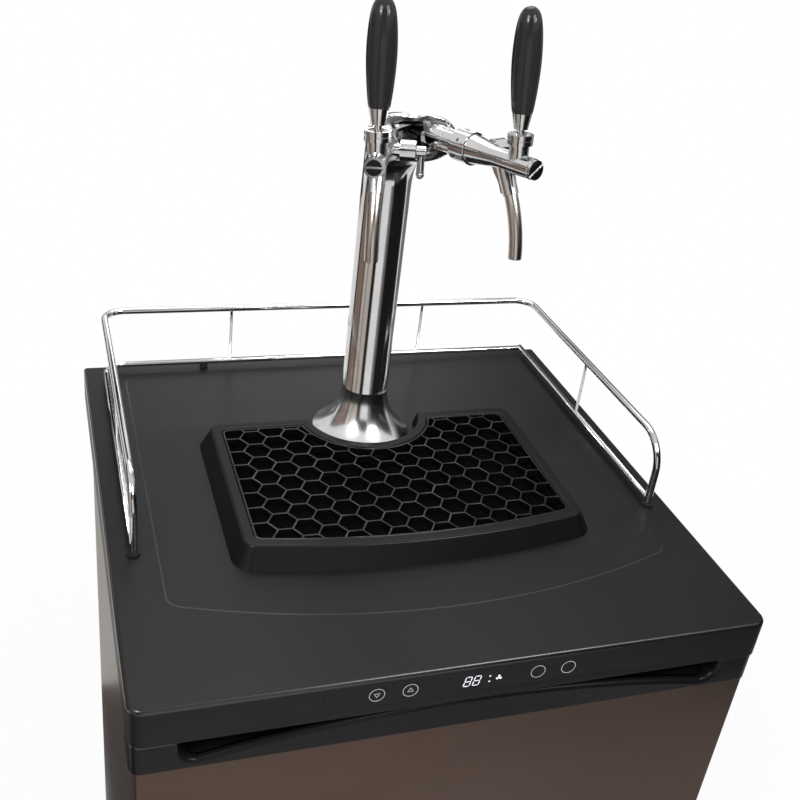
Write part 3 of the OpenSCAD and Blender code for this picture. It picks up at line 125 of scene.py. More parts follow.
# Dark inlays of the nose plugs, in metres
INLAY_R = 0.0069
INLAY_SLOT = 0.0022
INLAY_DEPTH = 0.0003
RIGHT_PLUG_TURN = math.radians(-35)

# Handle as (radius, height), in metres
HANDLE_LINE = (
    (0, 0), (0.0072, 0), (0.0093, 0.0002), (0.00975, 0.002), (0.0110, 0.0115), (0.0122, 0.0235),
    (0.0130, 0.0360), (0.0132, 0.0450), (0.0130, 0.0550), (0.0123, 0.0655), (0.0112, 0.0745),
    (0.0097, 0.0810), (0.0073, 0.0857), (0.0042, 0.0882), (0, 0.0889),
)

# Shading and meshing
NOISE_LOW = 0.3  # noise is taken to run between these two
NOISE_HIGH = 0.7
ROUGH_SPREAD = 0.04
BUMP_DEPTH = 0.0001
WELD = 2e-6
FLAT_ANGLE = math.radians(0.3)
CORNER_ANGLE = math.radians(25)

# Studio
SPARK_SIZE = 0.07
SPARK_POWER = 16
FLAG_RADIUS = 1.2
CAMERA_PLACE = (-0.34689, -0.92002, 1.53334)
CAMERA_AHEAD = (0.316653, 0.808392, -0.496218)
CAMERA_ROLL = math.radians(7.49455)


def tap_place(side):
    """Frame of a tap whose axis runs along -Y from the tower's axis; side is -1 for left, 1 for right."""
    return (Matrix.Translation((0, TOWER_Y, TAP_Z)) @ Matrix.Rotation(side * TAP_TURN, 4, "Z")
            @ Matrix.Rotation(-TAP_TILT, 4, "X") @ Matrix.Rotation(TAP_ROLL[side], 4, "Y"))


# Shader helpers
def add(tree, kind, inputs=None, **settings):
    made = tree.nodes.new(kind)
    for key, value in settings.items():
        setattr(made, key, value)
    for key, value in (inputs or {}).items():
        made.inputs[key].default_value = value
    return made


def computed(tree, operation, *values, **settings):
    """Output of a Math node whose inputs are sockets or plain numbers."""
    made = add(tree, "ShaderNodeMath", operation=operation, **settings)
    for socket, value in zip(made.inputs, values):
        if isinstance(value, bpy.types.NodeSocket):
            tree.links.new(value, socket)
        else:
            socket.default_value = value
    return made.outputs[0]


def position(tree):
    """Node whose outputs X, Y and Z are the place on the object."""
    place = add(tree, "ShaderNodeTexCoord")
    split = add(tree, "ShaderNodeSeparateXYZ")
    tree.links.new(place.outputs["Object"], split.inputs["Vector"])
    return split


def cleared(owner):
    """Empty node tree of a material or a world."""
    owner.use_nodes = True
    owner.node_tree.nodes.clear()
    return owner.node_tree


def group(name, inputs, outputs):
    tree = bpy.data.node_groups.new(name, "ShaderNodeTree")
    for label, value in inputs:
        socket = tree.interface.new_socket(label, in_out="INPUT", socket_type="NodeSocketFloat")
        socket.default_value = value
    for label in outputs:
        tree.interface.new_socket(label, in_out="OUTPUT", socket_type="NodeSocketFloat")
    return tree, add(tree, "NodeGroupInput"), add(tree, "NodeGroupOutput")


def grain_group():
    """Moulded grain: a fine height and a slow change of tone, both about 0 to 1."""
    tree, given, result = group("moulded_grain", [("Size", 900.0), ("Patch", 7.0)], ["Height", "Tone"])
    place = add(tree, "ShaderNodeTexCoord")
    fine = add(tree, "ShaderNodeTexNoise", {"Detail": 2.0, "Roughness": 0.6})
    slow = add(tree, "ShaderNodeTexNoise", {"Detail": 4.0, "Roughness": 0.55})
    tree.links.new(place.outputs["Object"], fine.inputs["Vector"])
    tree.links.new(place.outputs["Object"], slow.inputs["Vector"])
    tree.links.new(given.outputs["Size"], fine.inputs["Scale"])
    tree.links.new(given.outputs["Patch"], slow.inputs["Scale"])
    tree.links.new(fine.outputs["Fac"], result.inputs["Height"])
    tree.links.new(slow.outputs["Fac"], result.inputs["Tone"])
    return tree


def smudge_group():
    """Handling marks on polished metal: soft patches with fine scratches across them."""
    inputs = [("Patch", 30.0), ("Scratch", 400.0)]
    tree, given, result = group("handling_smudge", inputs, ["Mark", "Scratch"])
    place = add(tree, "ShaderNodeTexCoord")
    patch = add(tree, "ShaderNodeTexNoise", {"Detail": 5.0, "Roughness": 0.6})
    stretch = add(tree, "ShaderNodeMapping", {"Scale": (1.0, 1.0, 0.04), "Rotation": (0.4, 0.2, 0.3)})
    scratch = add(tree, "ShaderNodeTexNoise", {"Detail": 1.0})
    tree.links.new(place.outputs["Object"], patch.inputs["Vector"])
    tree.links.new(place.outputs["Object"], stretch.inputs["Vector"])
    tree.links.new(stretch.outputs["Vector"], scratch.inputs["Vector"])
    tree.links.new(given.outputs["Patch"], patch.inputs["Scale"])
    tree.links.new(given.outputs["Scratch"], scratch.inputs["Scale"])
    tree.links.new(patch.outputs["Fac"], result.inputs["Mark"])
    tree.links.new(scratch.outputs["Fac"], result.inputs["Scratch"])
    return tree


def brush_group():
    """Brushed sheet: lines along X, with a slow cloudy change of tone."""
    inputs = [("Lines", 1500.0), ("Cloud", 6.0)]
    tree, given, result = group("brushed_lines", inputs, ["Height", "Tone"])
    place = add(tree, "ShaderNodeTexCoord")
    stretch = add(tree, "ShaderNodeMapping", {"Scale": (0.004, 0.3, 1.0)})
    lines = add(tree, "ShaderNodeTexNoise", {"Detail": 3.0, "Roughness": 0.7})
    flat = add(tree, "ShaderNodeMapping", {"Scale": (0.5, 1.0, 1.6)})
    cloud = add(tree, "ShaderNodeTexNoise", {"Detail": 5.0, "Roughness": 0.6})
    tree.links.new(place.outputs["Object"], stretch.inputs["Vector"])
    tree.links.new(stretch.outputs["Vector"], lines.inputs["Vector"])
    tree.links.new(place.outputs["Object"], flat.inputs["Vector"])
    tree.links.new(flat.outputs["Vector"], cloud.inputs["Vector"])
    tree.links.new(given.outputs["Lines"], lines.inputs["Scale"])
    tree.links.new(given.outputs["Cloud"], cloud.inputs["Scale"])
    tree.links.new(lines.outputs["Fac"], result.inputs["Height"])
    tree.links.new(cloud.outputs["Fac"], result.inputs["Tone"])
    return tree


def basin_group():
    """0 inside the drip basin below a height, 1 on the rim and outside. The basin's front is bowed."""
    inputs = [("Half", 0.169), ("Front", -0.131), ("Back", 0.092), ("Bow", 0.568)]
    inputs += [("Low", 0.9), ("High", 0.901)]
    tree, given, result = group("basin_mask", inputs, ["Mask"])
    spot = position(tree)
    x, y, z = (spot.outputs[axis] for axis in "XYZ")
    bow = computed(tree, "MULTIPLY", computed(tree, "MULTIPLY", x, x), given.outputs["Bow"])
    wide = computed(tree, "SUBTRACT", computed(tree, "ABSOLUTE", x), given.outputs["Half"])
    front = computed(tree, "SUBTRACT", computed(tree, "ADD", given.outputs["Front"], bow), y)
    back = computed(tree, "SUBTRACT", y, given.outputs["Back"])
    outside = computed(tree, "MAXIMUM", wide, computed(tree, "MAXIMUM", front, back))
    side = add(tree, "ShaderNodeMapRange", {"From Min": 0.0, "From Max": 0.001})
    high = add(tree, "ShaderNodeMapRange")
    tree.links.new(outside, side.inputs["Value"])
    tree.links.new(z, high.inputs["Value"])
    tree.links.new(given.outputs["Low"], high.inputs["From Min"])
    tree.links.new(given.outputs["High"], high.inputs["From Max"])
    mask = computed(tree, "MAXIMUM", side.outputs["Result"], high.outputs["Result"])
    tree.links.new(mask, result.inputs["Mask"])
    return tree


def rim_group():
    """1 between two heights, with a short fade at both ends."""
    inputs = [("Low", 0.88), ("High", 0.8848), ("Fade", 0.0001)]
    tree, given, result = group("rim_band", inputs, ["Mask"])
    z = position(tree).outputs["Z"]
    above = computed(tree, "SUBTRACT", z, given.outputs["Low"])
    below = computed(tree, "SUBTRACT", given.outputs["High"], z)
    ends = [computed(tree, "DIVIDE", past, given.outputs["Fade"], use_clamp=True) for past in (above, below)]
    tree.links.new(computed(tree, "MULTIPLY", *ends), result.inputs["Mask"])
    return tree


GRAIN = grain_group()
SMUDGE = smudge_group()
BRUSH = brush_group()
BASIN = basin_group()
RIM = rim_group()


def principled(name, inputs):
    mat = bpy.data.materials.new(name)
    tree = cleared(mat)
    shader = add(tree, "ShaderNodeBsdfPrincipled", inputs)
    out = add(tree, "ShaderNodeOutputMaterial")
    tree.links.new(shader.outputs["BSDF"], out.inputs["Surface"])
    return mat, tree, shader


def placed(tree, made, inputs=None):
    return add(tree, "ShaderNodeGroup", inputs, node_tree=made)


def between(tree, value, low, high, socket):
    """Feeds a socket with noise carried to low..high."""
    span = add(tree, "ShaderNodeMapRange", {"From Min": NOISE_LOW, "From Max": NOISE_HIGH})
    span.inputs["To Min"].default_value = low
    span.inputs["To Max"].default_value = high
    tree.links.new(value, span.inputs["Value"])
    tree.links.new(span.outputs["Result"], socket)


def tinted(tree, value, dark, light, socket):
    """Feeds a colour socket with a mix of two colours by noise."""
    ramp = add(tree, "ShaderNodeValToRGB")
    ramp.color_ramp.elements[0].position = NOISE_LOW
    ramp.color_ramp.elements[1].position = NOISE_HIGH
    ramp.color_ramp.elements[0].color = (*dark, 1)
    ramp.color_ramp.elements[1].color = (*light, 1)
    tree.links.new(value, ramp.inputs["Fac"])
    tree.links.new(ramp.outputs["Color"], socket)


def bumped(tree, height, shader, strength, distance=BUMP_DEPTH):
    bump = add(tree, "ShaderNodeBump", {"Strength": strength, "Distance": distance})
    tree.links.new(height, bump.inputs["Height"])
    tree.links.new(bump.outputs["Normal"], shader.inputs["Normal"])
    return bump


def moulded(name, dark, light, rough, size=900.0, bump=0.2, depth=BUMP_DEPTH, specular=0.5, coat_rough=0.03):
    mat, tree, shader = principled(name, {"Specular IOR Level": specular, "Coat Roughness": coat_rough})
    grain = placed(tree, GRAIN, {"Size": size})
    tinted(tree, grain.outputs["Tone"], dark, light, shader.inputs["Base Color"])
    low, high = rough - ROUGH_SPREAD, rough + ROUGH_SPREAD
    between(tree, grain.outputs["Tone"], low, high, shader.inputs["Roughness"])
    bumped(tree, grain.outputs["Height"], shader, bump, depth)
    return mat


def rimmed(name, dark, light, rough, made, masks, shine, coat_rough, specular=0.0):
    """Black moulding with a coat that shines only where one of its masks lets it."""
    mat = moulded(name, dark, light, rough, size=700.0, specular=specular, coat_rough=coat_rough)
    tree = mat.node_tree
    shader = next(n for n in tree.nodes if n.type == "BSDF_PRINCIPLED")
    total = placed(tree, made, masks[0]).outputs["Mask"]
    for mask in masks[1:]:
        total = computed(tree, "MAXIMUM", total, placed(tree, made, mask).outputs["Mask"])
    tree.links.new(computed(tree, "MULTIPLY", total, shine), shader.inputs["Coat Weight"])
    return mat


def tipped(tree, bump, z0, z1, amount):
    """Tips normals up, by amount at height z0 and by nothing at z1; upright chrome then mirrors more sky."""
    fade = add(tree, "ShaderNodeMapRange", {"From Min": z0, "From Max": z1})
    fade.inputs["To Min"].default_value = amount
    fade.inputs["To Max"].default_value = 0.0
    lift = add(tree, "ShaderNodeCombineXYZ")
    surface = add(tree, "ShaderNodeNewGeometry")
    total = add(tree, "ShaderNodeVectorMath", operation="ADD")
    unit = add(tree, "ShaderNodeVectorMath", operation="NORMALIZE")
    tree.links.new(position(tree).outputs["Z"], fade.inputs["Value"])
    tree.links.new(fade.outputs["Result"], lift.inputs["Z"])
    tree.links.new(surface.outputs["Normal"], total.inputs[0])
    tree.links.new(lift.outputs["Vector"], total.inputs[1])
    tree.links.new(total.outputs["Vector"], unit.inputs[0])
    tree.links.new(unit.outputs["Vector"], bump.inputs["Normal"])


def polished(name, dark, light, low, high, patch=30.0, scratch=0.02, tip=None):
    """Metal with handling marks. tip holds the two heights and the amount by which normals are tipped."""
    mat, tree, shader = principled(name, {"Metallic": 1.0})
    smudge = placed(tree, SMUDGE, {"Patch": patch})
    tinted(tree, smudge.outputs["Mark"], light, dark, shader.inputs["Base Color"])
    between(tree, smudge.outputs["Mark"], low, high, shader.inputs["Roughness"])
    bump = bumped(tree, smudge.outputs["Scratch"], shader, scratch)
    if tip:
        tipped(tree, bump, *tip)
    return mat


def brushed(name, dark, light, low, high, bump, metallic=1.0):
    mat, tree, shader = principled(name, {"Metallic": metallic})
    brush = placed(tree, BRUSH)
    tinted(tree, brush.outputs["Tone"], dark, light, shader.inputs["Base Color"])
    between(tree, brush.outputs["Height"], low, high, shader.inputs["Roughness"])
    bumped(tree, brush.outputs["Height"], shader, bump)
    return mat


def board_material():
    """Green lacquer with rows of copper tracks."""
    mat, tree, shader = principled("green_board", {"Roughness": 0.35})
    place = add(tree, "ShaderNodeTexCoord")
    tracks = add(tree, "ShaderNodeTexBrick", {
        "Scale": 160.0,
        "Mortar Size": 0.03,
        "Color1": (0.01, 0.09, 0.04, 1),
        "Color2": (0.012, 0.11, 0.05, 1),
        "Mortar": (0.05, 0.2, 0.08, 1),
    })
    tree.links.new(place.outputs["Object"], tracks.inputs["Vector"])
    tree.links.new(tracks.outputs["Color"], shader.inputs["Base Color"])
    bumped(tree, tracks.outputs["Fac"], shader, 0.2)
    return mat


def glow_material():
    """Lit figures of the display."""
    inputs = {"Base Color": (0.8, 0.82, 0.9, 1), "Roughness": 0.4, "Emission Strength": 0.35}
    mat, tree, shader = principled("digit_glow", inputs)
    tone = placed(tree, GRAIN, {"Patch": 250.0}).outputs["Tone"]
    tinted(tree, tone, (0.75, 0.78, 0.9), (0.95, 0.96, 1.0), shader.inputs["Emission Color"])
    return mat


# Where the black mouldings shine: the worktop's edge, its panel's side, the trim's top and two rims
EDGE_BAND = {"Low": TOP_Z - 0.005, "High": TOP_Z - 0.0001, "Fade": 0.0006}
SLOPE_BAND = {"Low": TOP_Z + 0.0001, "High": PANEL_Z - 0.0001, "Fade": 0.0005}
TRIM_BAND = {"Low": TRIM_TOP - 0.002, "High": TRIM_TOP + 0.001, "Fade": 0.0005}
TRAY_RIM = {"Low": TRAY_Z - 0.005, "High": TRAY_Z - 0.002}
GRATE_RIM = {"Half": 1.0, "Front": -1.0, "Back": 1.0, "Low": GRATE_Z - 0.0004, "High": GRATE_Z}

# Materials: name, darker and lighter colour, then roughness and what is special to each
BLACKS = ((0.0045, 0.0045, 0.0046), (0.0065, 0.0065, 0.0066))
WORKTOP = rimmed("worktop_black", *BLACKS, 0.4, RIM, (EDGE_BAND, SLOPE_BAND), 0.9, 0.2, 0.15)
BLACK = moulded("black_moulding", *BLACKS, 0.36, specular=0.15)
TRIM = rimmed("trim_black", *BLACKS, 0.26, RIM, (TRIM_BAND,), 0.9, 0.2, 0.12)
TRAY = rimmed("tray_black", (0.0035, 0.0035, 0.0036), (0.005, 0.005, 0.0051), 0.34,
              BASIN, (TRAY_RIM,), 0.36, 0.3)
GRATE = rimmed("grate_black", (0.0025, 0.0025, 0.0025), (0.0035, 0.0035, 0.0035), 0.3,
               BASIN, (GRATE_RIM,), 0.65, 0.22)
FILM = moulded("control_film", (0.0045, 0.0045, 0.0046), (0.006, 0.006, 0.0061), 0.42, 1400.0,
               bump=0.08, specular=0.15)
HANDLE = moulded("handle_black", (0.017, 0.0160, 0.0163), (0.021, 0.0198, 0.0201), 0.12, 500.0,
                 bump=0.02, specular=0.2)
RUBBER = moulded("black_rubber", (0.009, 0.009, 0.009), (0.014, 0.014, 0.014), 0.75, 1200.0,
                 bump=0.3, specular=0.2)
SEAL = moulded("grey_seal", (0.10, 0.10, 0.105), (0.13, 0.13, 0.135), 0.6, 800.0)
LINER = moulded("white_liner", (0.77, 0.78, 0.78), (0.79, 0.80, 0.80), 0.5, 300.0, bump=0.05, specular=0.3)
FOAM = moulded("yellow_foam", (0.72, 0.6, 0.3), (0.8, 0.68, 0.36), 0.9, 400.0, bump=0.6, depth=0.0006)
PAINT = moulded("dark_paint", (0.02, 0.02, 0.021), (0.026, 0.026, 0.027), 0.42, 500.0, bump=0.12)
INLAY = moulded("plug_black", (0.004, 0.004, 0.004), (0.006, 0.006, 0.006), 0.25, bump=0.05, specular=0.25)
PRINT = moulded("white_print", (0.40, 0.40, 0.40), (0.46, 0.46, 0.46), 0.5, 2000.0, bump=0.05)
CHROME = polished("chrome", (0.55, 0.55, 0.55), (0.63, 0.63, 0.63), 0.10, 0.18)
TOWER = polished("tower_chrome", (0.58, 0.57, 0.565), (0.66, 0.65, 0.645), 0.10, 0.15,
                 tip=(0.90, 1.26, 0.27))
FOOT = polished("foot_chrome", (0.58, 0.58, 0.58), (0.70, 0.70, 0.70), 0.16, 0.22)
SATIN = polished("satin_spout", (0.42, 0.385, 0.355), (0.50, 0.46, 0.43), 0.2, 0.3, 60.0, 0.05)
RAIL = polished("rail_chrome", (0.50, 0.50, 0.505), (0.58, 0.58, 0.585), 0.08, 0.14)
ZINC = polished("zinc_plate", (0.42, 0.43, 0.44), (0.56, 0.57, 0.58), 0.3, 0.42, 90.0, 0.1)
# The door steel's dark brown tone is partly its own finish and partly a painted reflection of a brown floor;
# its cloudy tone and brushed lines are its own.
DOOR = brushed("brown_steel_and_painted_reflection", (0.085, 0.054, 0.043), (0.100, 0.064, 0.051), 0.32, 0.42, 0.06)
# The cabinet steel's brown tint is partly its own and partly a painted reflection of a brown floor.
SIDE = brushed("cabinet_steel", (0.088, 0.070, 0.060), (0.104, 0.083, 0.071), 0.24, 0.32, 0.04, 0.78)
BACK = polished("back_zinc", (0.36, 0.37, 0.38), (0.5, 0.51, 0.52), 0.35, 0.5, 40.0, 0.1)
BOARD = board_material()
GLOW = glow_material()


# Mesh helpers
def copy_of(node):
    """Copy of a CAD node as a bmesh, with flat faces joined."""
    bm = bmesh.new()
    bm.from_mesh(nodes[node].data)
    bmesh.ops.remove_doubles(bm, verts=bm.verts[:], dist=WELD)
    bmesh.ops.dissolve_limit(bm, angle_limit=FLAT_ANGLE, verts=bm.verts[:], edges=bm.edges[:])
    return bm


def rounded(bm, edges, offset, segments):
    if edges:
        bmesh.ops.bevel(bm, geom=edges, offset=offset, segments=segments, profile=0.5, affect="EDGES",
                        material=-1, clamp_overlap=True)


def corner(edge):
    """True where two faces meet at a real edge."""
    return len(edge.link_faces) == 2 and edge.calc_face_angle(0) > CORNER_ANGLE


def middle(edge):
    return (edge.verts[0].co + edge.verts[1].co) / 2


def level(edge, z, tol=2e-5):
    return all(abs(v.co.z - z) < tol for v in edge.verts)


def near(value, target):
    return abs(value - target) < 1e-5


def linked(name, data):
    obj = bpy.data.objects.new(name, data)
    bpy.context.scene.collection.objects.link(obj)
    return obj


def made_object(bm, name, material):
    mesh = bpy.data.meshes.new(name)
    bm.to_mesh(mesh)
    bm.free()
    mesh.materials.append(material)
    return linked(name, mesh)


def piece(bm, name, material, body, stands_for=(), sharp=32, bevel=0, segments=2, subdivide=0,
          weighted=False):
    """Object of the part: rides on a body and may stand for CAD nodes. sharp is an angle in degrees."""
    obj = made_object(bm, name, material)
    obj.data.shade_smooth()
    if not subdivide:
        obj.data.set_sharp_from_angle(angle=math.radians(sharp))
    if bevel:
        mod = obj.modifiers.new("rounded_edges", "BEVEL")
        mod.width = bevel
        mod.segments = segments
        mod.limit_method = "ANGLE"
        mod.angle_limit = math.radians(sharp)
        mod.use_clamp_overlap = True
        mod.harden_normals = True
    if subdivide:
        mod = obj.modifiers.new("smooth_form", "SUBSURF")
        mod.levels = subdivide
        mod.render_levels = subdivide
    if weighted:
        mod = obj.modifiers.new("flat_faces", "WEIGHTED_NORMAL")
        mod.keep_sharp = True
    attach(obj, body)
    if stands_for:
        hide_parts(*stands_for)


def skin(node, name, material, bevel=0, segments=2, sharp=32):
    """A CAD node's rounded copy that takes its place."""
    piece(copy_of(node), name, material, body_of[node], (node,), sharp, bevel, segments)


# Worktop: rounded top edge, soft raised panel, eased lower edge
def outer_rim(edge, z):
    mid = middle(edge)
    post = min((mid.xy - Vector((s * RAIL_POST[0], RAIL_POST[1]))).length for s in (-1, 1))
    outside = abs(mid.x) > OUTLINE_X or abs(mid.y) > OUTLINE_Y
    return level(edge, z) and corner(edge) and post > POST_CLEAR and outside


def panel_rim(edge):
    away = (middle(edge).xy - Vector((0, TOWER_Y))).length
    return level(edge, PANEL_Z) and corner(edge) and away > TOWER_CLEAR


bm = copy_of("worktop")
rounded(bm, [e for e in bm.edges if outer_rim(e, TOP_Z)], TOP_ROUND, 5)
slope = {v for e in bm.edges if panel_rim(e) for v in e.verts}
bmesh.ops.scale(bm, verts=list(slope), vec=(PANEL_SLOPE, PANEL_SLOPE, 1),
                space=Matrix.Translation((0, PANEL_MID_Y, 0)))
rounded(bm, [e for e in bm.edges if outer_rim(e, BAND_Z)], BAND_ROUND, 3)
piece(bm, "worktop_moulding", WORKTOP, "cabinet", ("worktop",), weighted=True)


# Door trim: rounded ends, soft lip along the grip
def trim_end(edge):
    """Upright front edge at either end."""
    mid = middle(edge)
    tall = abs(edge.verts[0].co.z - edge.verts[1].co.z) > 0.02
    return corner(edge) and tall and near(abs(mid.x), TRIM_HALF) and near(mid.y, TRIM_Y)


def grip_lip(edge):
    """Front edge along the finger grip, between the trim's foot and top."""
    mid = middle(edge)
    front = all(near(v.co.y, TRIM_Y) for v in edge.verts)
    inside = TRIM_FOOT + 0.0005 < mid.z < TRIM_TOP - 0.0005 and abs(mid.x) < GRIP_HALF
    return corner(edge) and front and inside


def trim_line(edge, z):
    return corner(edge) and level(edge, z) and middle(edge).y < TRIM_FRONT


bm = copy_of("door_trim")
rounded(bm, [e for e in bm.edges if trim_end(e)], TRIM_END_ROUND, 6)
rounded(bm, [e for e in bm.edges if grip_lip(e)], LIP_ROUND, 5)
rounded(bm, [e for e in bm.edges if trim_line(e, TRIM_FOOT)], TRIM_FOOT_ROUND, 3)
rounded(bm, [e for e in bm.edges if trim_line(e, TRIM_TOP)], TRIM_TOP_ROUND, 3)
bmesh.ops.scale(bm, verts=bm.verts[:], vec=(TRIM_WIDER, 1, 1))
piece(bm, "door_top_trim", TRIM, "door", ("door_trim",), weighted=True)

# Door pan: rounded front edges
bm = copy_of("door_panel")
front = [e for e in bm.edges if corner(e) and all(near(v.co.y, PAN_Y) for v in e.verts)]
rounded(bm, [e for e in front if middle(e).z < PAN_TOP], PAN_ROUND, 4)
bmesh.ops.scale(bm, verts=bm.verts[:], vec=(PAN_WIDER, 1, 1))
piece(bm, "door_steel_pan", DOOR, "door", ("door_panel",), weighted=True)

# Tray and grate: rounded rims, eased cell edges
bm = copy_of("drip_tray")
rounded(bm, [e for e in bm.edges if corner(e) and level(e, TRAY_Z)], TRAY_ROUND, 4)
rounded(bm, [e for e in bm.edges if corner(e) and level(e, PANEL_Z)], TRAY_FOOT_ROUND, 2)
piece(bm, "drip_tray_rim", TRAY, "tray", ("drip_tray",), weighted=True)
bm = copy_of("drip_grate")
rounded(bm, [e for e in bm.edges if corner(e) and level(e, GRATE_Z)], GRATE_ROUND, 2)
piece(bm, "drip_grate_cells", GRATE, "grate", ("drip_grate",))

# Tower and rail: the hood is smoothed, with a crease where it meets the column
bm = copy_of("tower_hood")
crease = bm.edges.layers.float.new("crease_edge")
for e in bm.edges:
    if level(e, COLUMN_TOP, 1e-4):
        e[crease] = 1.0
        e.smooth = False
bmesh.ops.join_triangles(bm, faces=bm.faces[:], angle_face_threshold=math.radians(40),
                         angle_shape_threshold=math.radians(60))
piece(bm, "tower_hood_shell", TOWER, "cabinet", ("tower_hood",), subdivide=2)
skin("tower_foot", "tower_flared_foot", FOOT, sharp=40)
skin("tower_column", "tower_tube", TOWER)
skin("tower_block", "tower_arm_block", ZINC, 0.0008)
skin("rail_upper", "guard_rail", RAIL, sharp=50)
skin("rail_lower", "guard_rail_foot", RAIL, sharp=50)
skin("rail_feet", "rail_rubber_feet", RUBBER, 0.0006)

# Tap hardware
for word in ("left", "right"):
    skin("arm_" + word, "tap_arm_" + word, CHROME, 0.0004)
    skin("tap_" + word, "tap_body_" + word, CHROME, 0.0006, 3, 25)
    skin("spout_" + word, "tap_spout_" + word, SATIN, 0.0003)
    skin("lever_" + word, "tap_lever_" + word, CHROME, 0.0004)
    skin("flow_lever_" + word, "flow_knob_" + word, CHROME, 0.0006)
skin("coupling_nuts", "tap_coupling_nuts", CHROME, 0.0006)
skin("lever_collars", "tap_collars", CHROME, 0.0005)
skin("nose_plugs", "tap_nose_plugs", CHROME, 0.0005)


def turned(profile, steps=48):
    """Closed turned form about Z from a profile of (radius, height) that starts and ends on the axis."""
    bm = bmesh.new()
    line = [bm.verts.new((r, 0, z)) for r, z in profile]
    for a, b in zip(line, line[1:]):
        bm.edges.new((a, b))
    bmesh.ops.spin(bm, geom=bm.verts[:] + bm.edges[:], cent=(0, 0, 0), axis=(0, 0, 1), angle=math.tau,
                   steps=steps, use_merge=True, use_duplicate=False)
    bmesh.ops.remove_doubles(bm, verts=bm.verts[:], dist=1e-6)
    bmesh.ops.recalc_face_normals(bm, faces=bm.faces[:])
    return bm


for side, word in ((-1, "left"), (1, "right")):
    bm = turned(HANDLE_LINE)
    pivot = tap_place(side) @ Matrix.Translation((0, -LEVER_OUT, PIVOT_UP))
    place = pivot @ Matrix.Rotation(LEVER_LEAN, 4, "X") @ Matrix.Translation((0, 0, HANDLE_UP))
    bmesh.ops.transform(bm, matrix=place, verts=bm.verts[:])
    piece(bm, "tap_handle_" + word, HANDLE, "lever_" + word, ("handle_" + word,),
          subdivide=2)


def disc(bm, radius, segments, turn=0.0, filled=True):
    """Vertices of a disc, or of an open ring of edges, about the origin and facing -Y."""
    made = bmesh.ops.create_circle(bm, cap_ends=filled, segments=segments, radius=radius)["verts"]
    upright = Matrix.Rotation(math.pi / 2, 3, "X") @ Matrix.Rotation(turn, 3, "Z")
    bmesh.ops.rotate(bm, verts=made, cent=(0, 0, 0), matrix=upright)
    return made


def new_verts(made):
    return [g for g in made["geom"] if isinstance(g, bmesh.types.BMVert)]


def thickened(bm, depth):
    """Draws flat faces out towards the front."""
    made = bmesh.ops.extrude_face_region(bm, geom=bm.faces[:])
    bmesh.ops.translate(bm, verts=new_verts(made), vec=(0, -depth, 0))
    bmesh.ops.recalc_face_normals(bm, faces=bm.faces[:])


def half_moon(bm, radius, slot, sign):
    """Half disc facing -Y on one side of a slot."""
    made = disc(bm, radius, 48)
    faces = list({f for v in made for f in v.link_faces})
    edges = list({e for v in made for e in v.link_edges})
    bmesh.ops.bisect_plane(bm, geom=made + edges + faces, dist=1e-7, plane_co=(0, 0, sign * slot / 2),
                           plane_no=(0, 0, sign), clear_inner=True)


for side, word, turn in ((-1, "left", 0.0), (1, "right", RIGHT_PLUG_TURN)):
    bm = bmesh.new()
    for sign in (-1, 1):
        half_moon(bm, INLAY_R, INLAY_SLOT, sign)
    thickened(bm, INLAY_DEPTH)
    place = tap_place(side) @ Matrix.Translation((0, -NOSE_OUT, 0)) @ Matrix.Rotation(turn, 4, "Y")
    bmesh.ops.transform(bm, matrix=place, verts=bm.verts[:])
    piece(bm, "nose_plug_inlay_" + word, INLAY, "cabinet")


# Printed controls
def outline(bm, radius, width, sides, turn=0.0, x=0.0, z=0.0):
    """Flat ring facing -Y with the given number of sides."""
    loops = []
    for r in (radius, radius - width):
        made = disc(bm, r, sides, turn, filled=False)
        bmesh.ops.translate(bm, verts=made, vec=(x, PRINT_Y, z))
        loops += list({e for v in made for e in v.link_edges})
    bmesh.ops.bridge_loops(bm, edges=loops)


def printed(bm, name, body, material=PRINT):
    """Gives flat print a hair of thickness towards the front."""
    bmesh.ops.recalc_face_normals(bm, faces=bm.faces[:])
    thickened(bm, PRINT_DEPTH)
    piece(bm, name, material, body)


for i, x in enumerate(BUTTON_X, 1):
    bm = bmesh.new()
    outline(bm, RING_R, RING_LINE, 48, x=x, z=CONTROL_Z)
    if i < 3:
        outline(bm, ARROW_R, ARROW_LINE, 3, math.pi if i == 1 else 0.0, x, CONTROL_Z)
    printed(bm, "key_ring_%d" % i, "button_%d" % i)
    skin("button_%d" % i, "key_%d" % i, FILM, 0.0003)
skin("control_film", "control_strip", FILM, 0.0002)


# Two lit figures of seven bars each, leaning, and the small signs beside them
def bar(bm, x, z, long, upright):
    """Bar of a figure: a six-sided disc, stretched."""
    made = disc(bm, BAR / 2, 6)
    for v in made:
        if abs(v.co.x) > BAR * 0.1:
            v.co.x += math.copysign((long - BAR) / 2, v.co.x)
    if upright:
        bmesh.ops.rotate(bm, verts=made, cent=(0, 0, 0), matrix=Matrix.Rotation(-math.pi / 2, 3, "Y"))
    bmesh.ops.translate(bm, verts=made, vec=(x, 0, z))


bm = bmesh.new()
for x in FIGURE_X:
    for z in (-FIGURE_H / 2, 0, FIGURE_H / 2):
        bar(bm, x, z, FIGURE_W - FLAT_GAP, False)
    for z in (-FIGURE_H / 4, FIGURE_H / 4):
        for s in (-1, 1):
            bar(bm, x + s * FIGURE_W / 2, z, FIGURE_H / 2 - UPRIGHT_GAP, True)
lean = Matrix.Identity(4)
lean[0][2] = FIGURE_LEAN
bmesh.ops.transform(bm, matrix=Matrix.Translation((0, PRINT_Y, CONTROL_Z)) @ lean, verts=bm.verts[:])
printed(bm, "display_figures", "cabinet", GLOW)

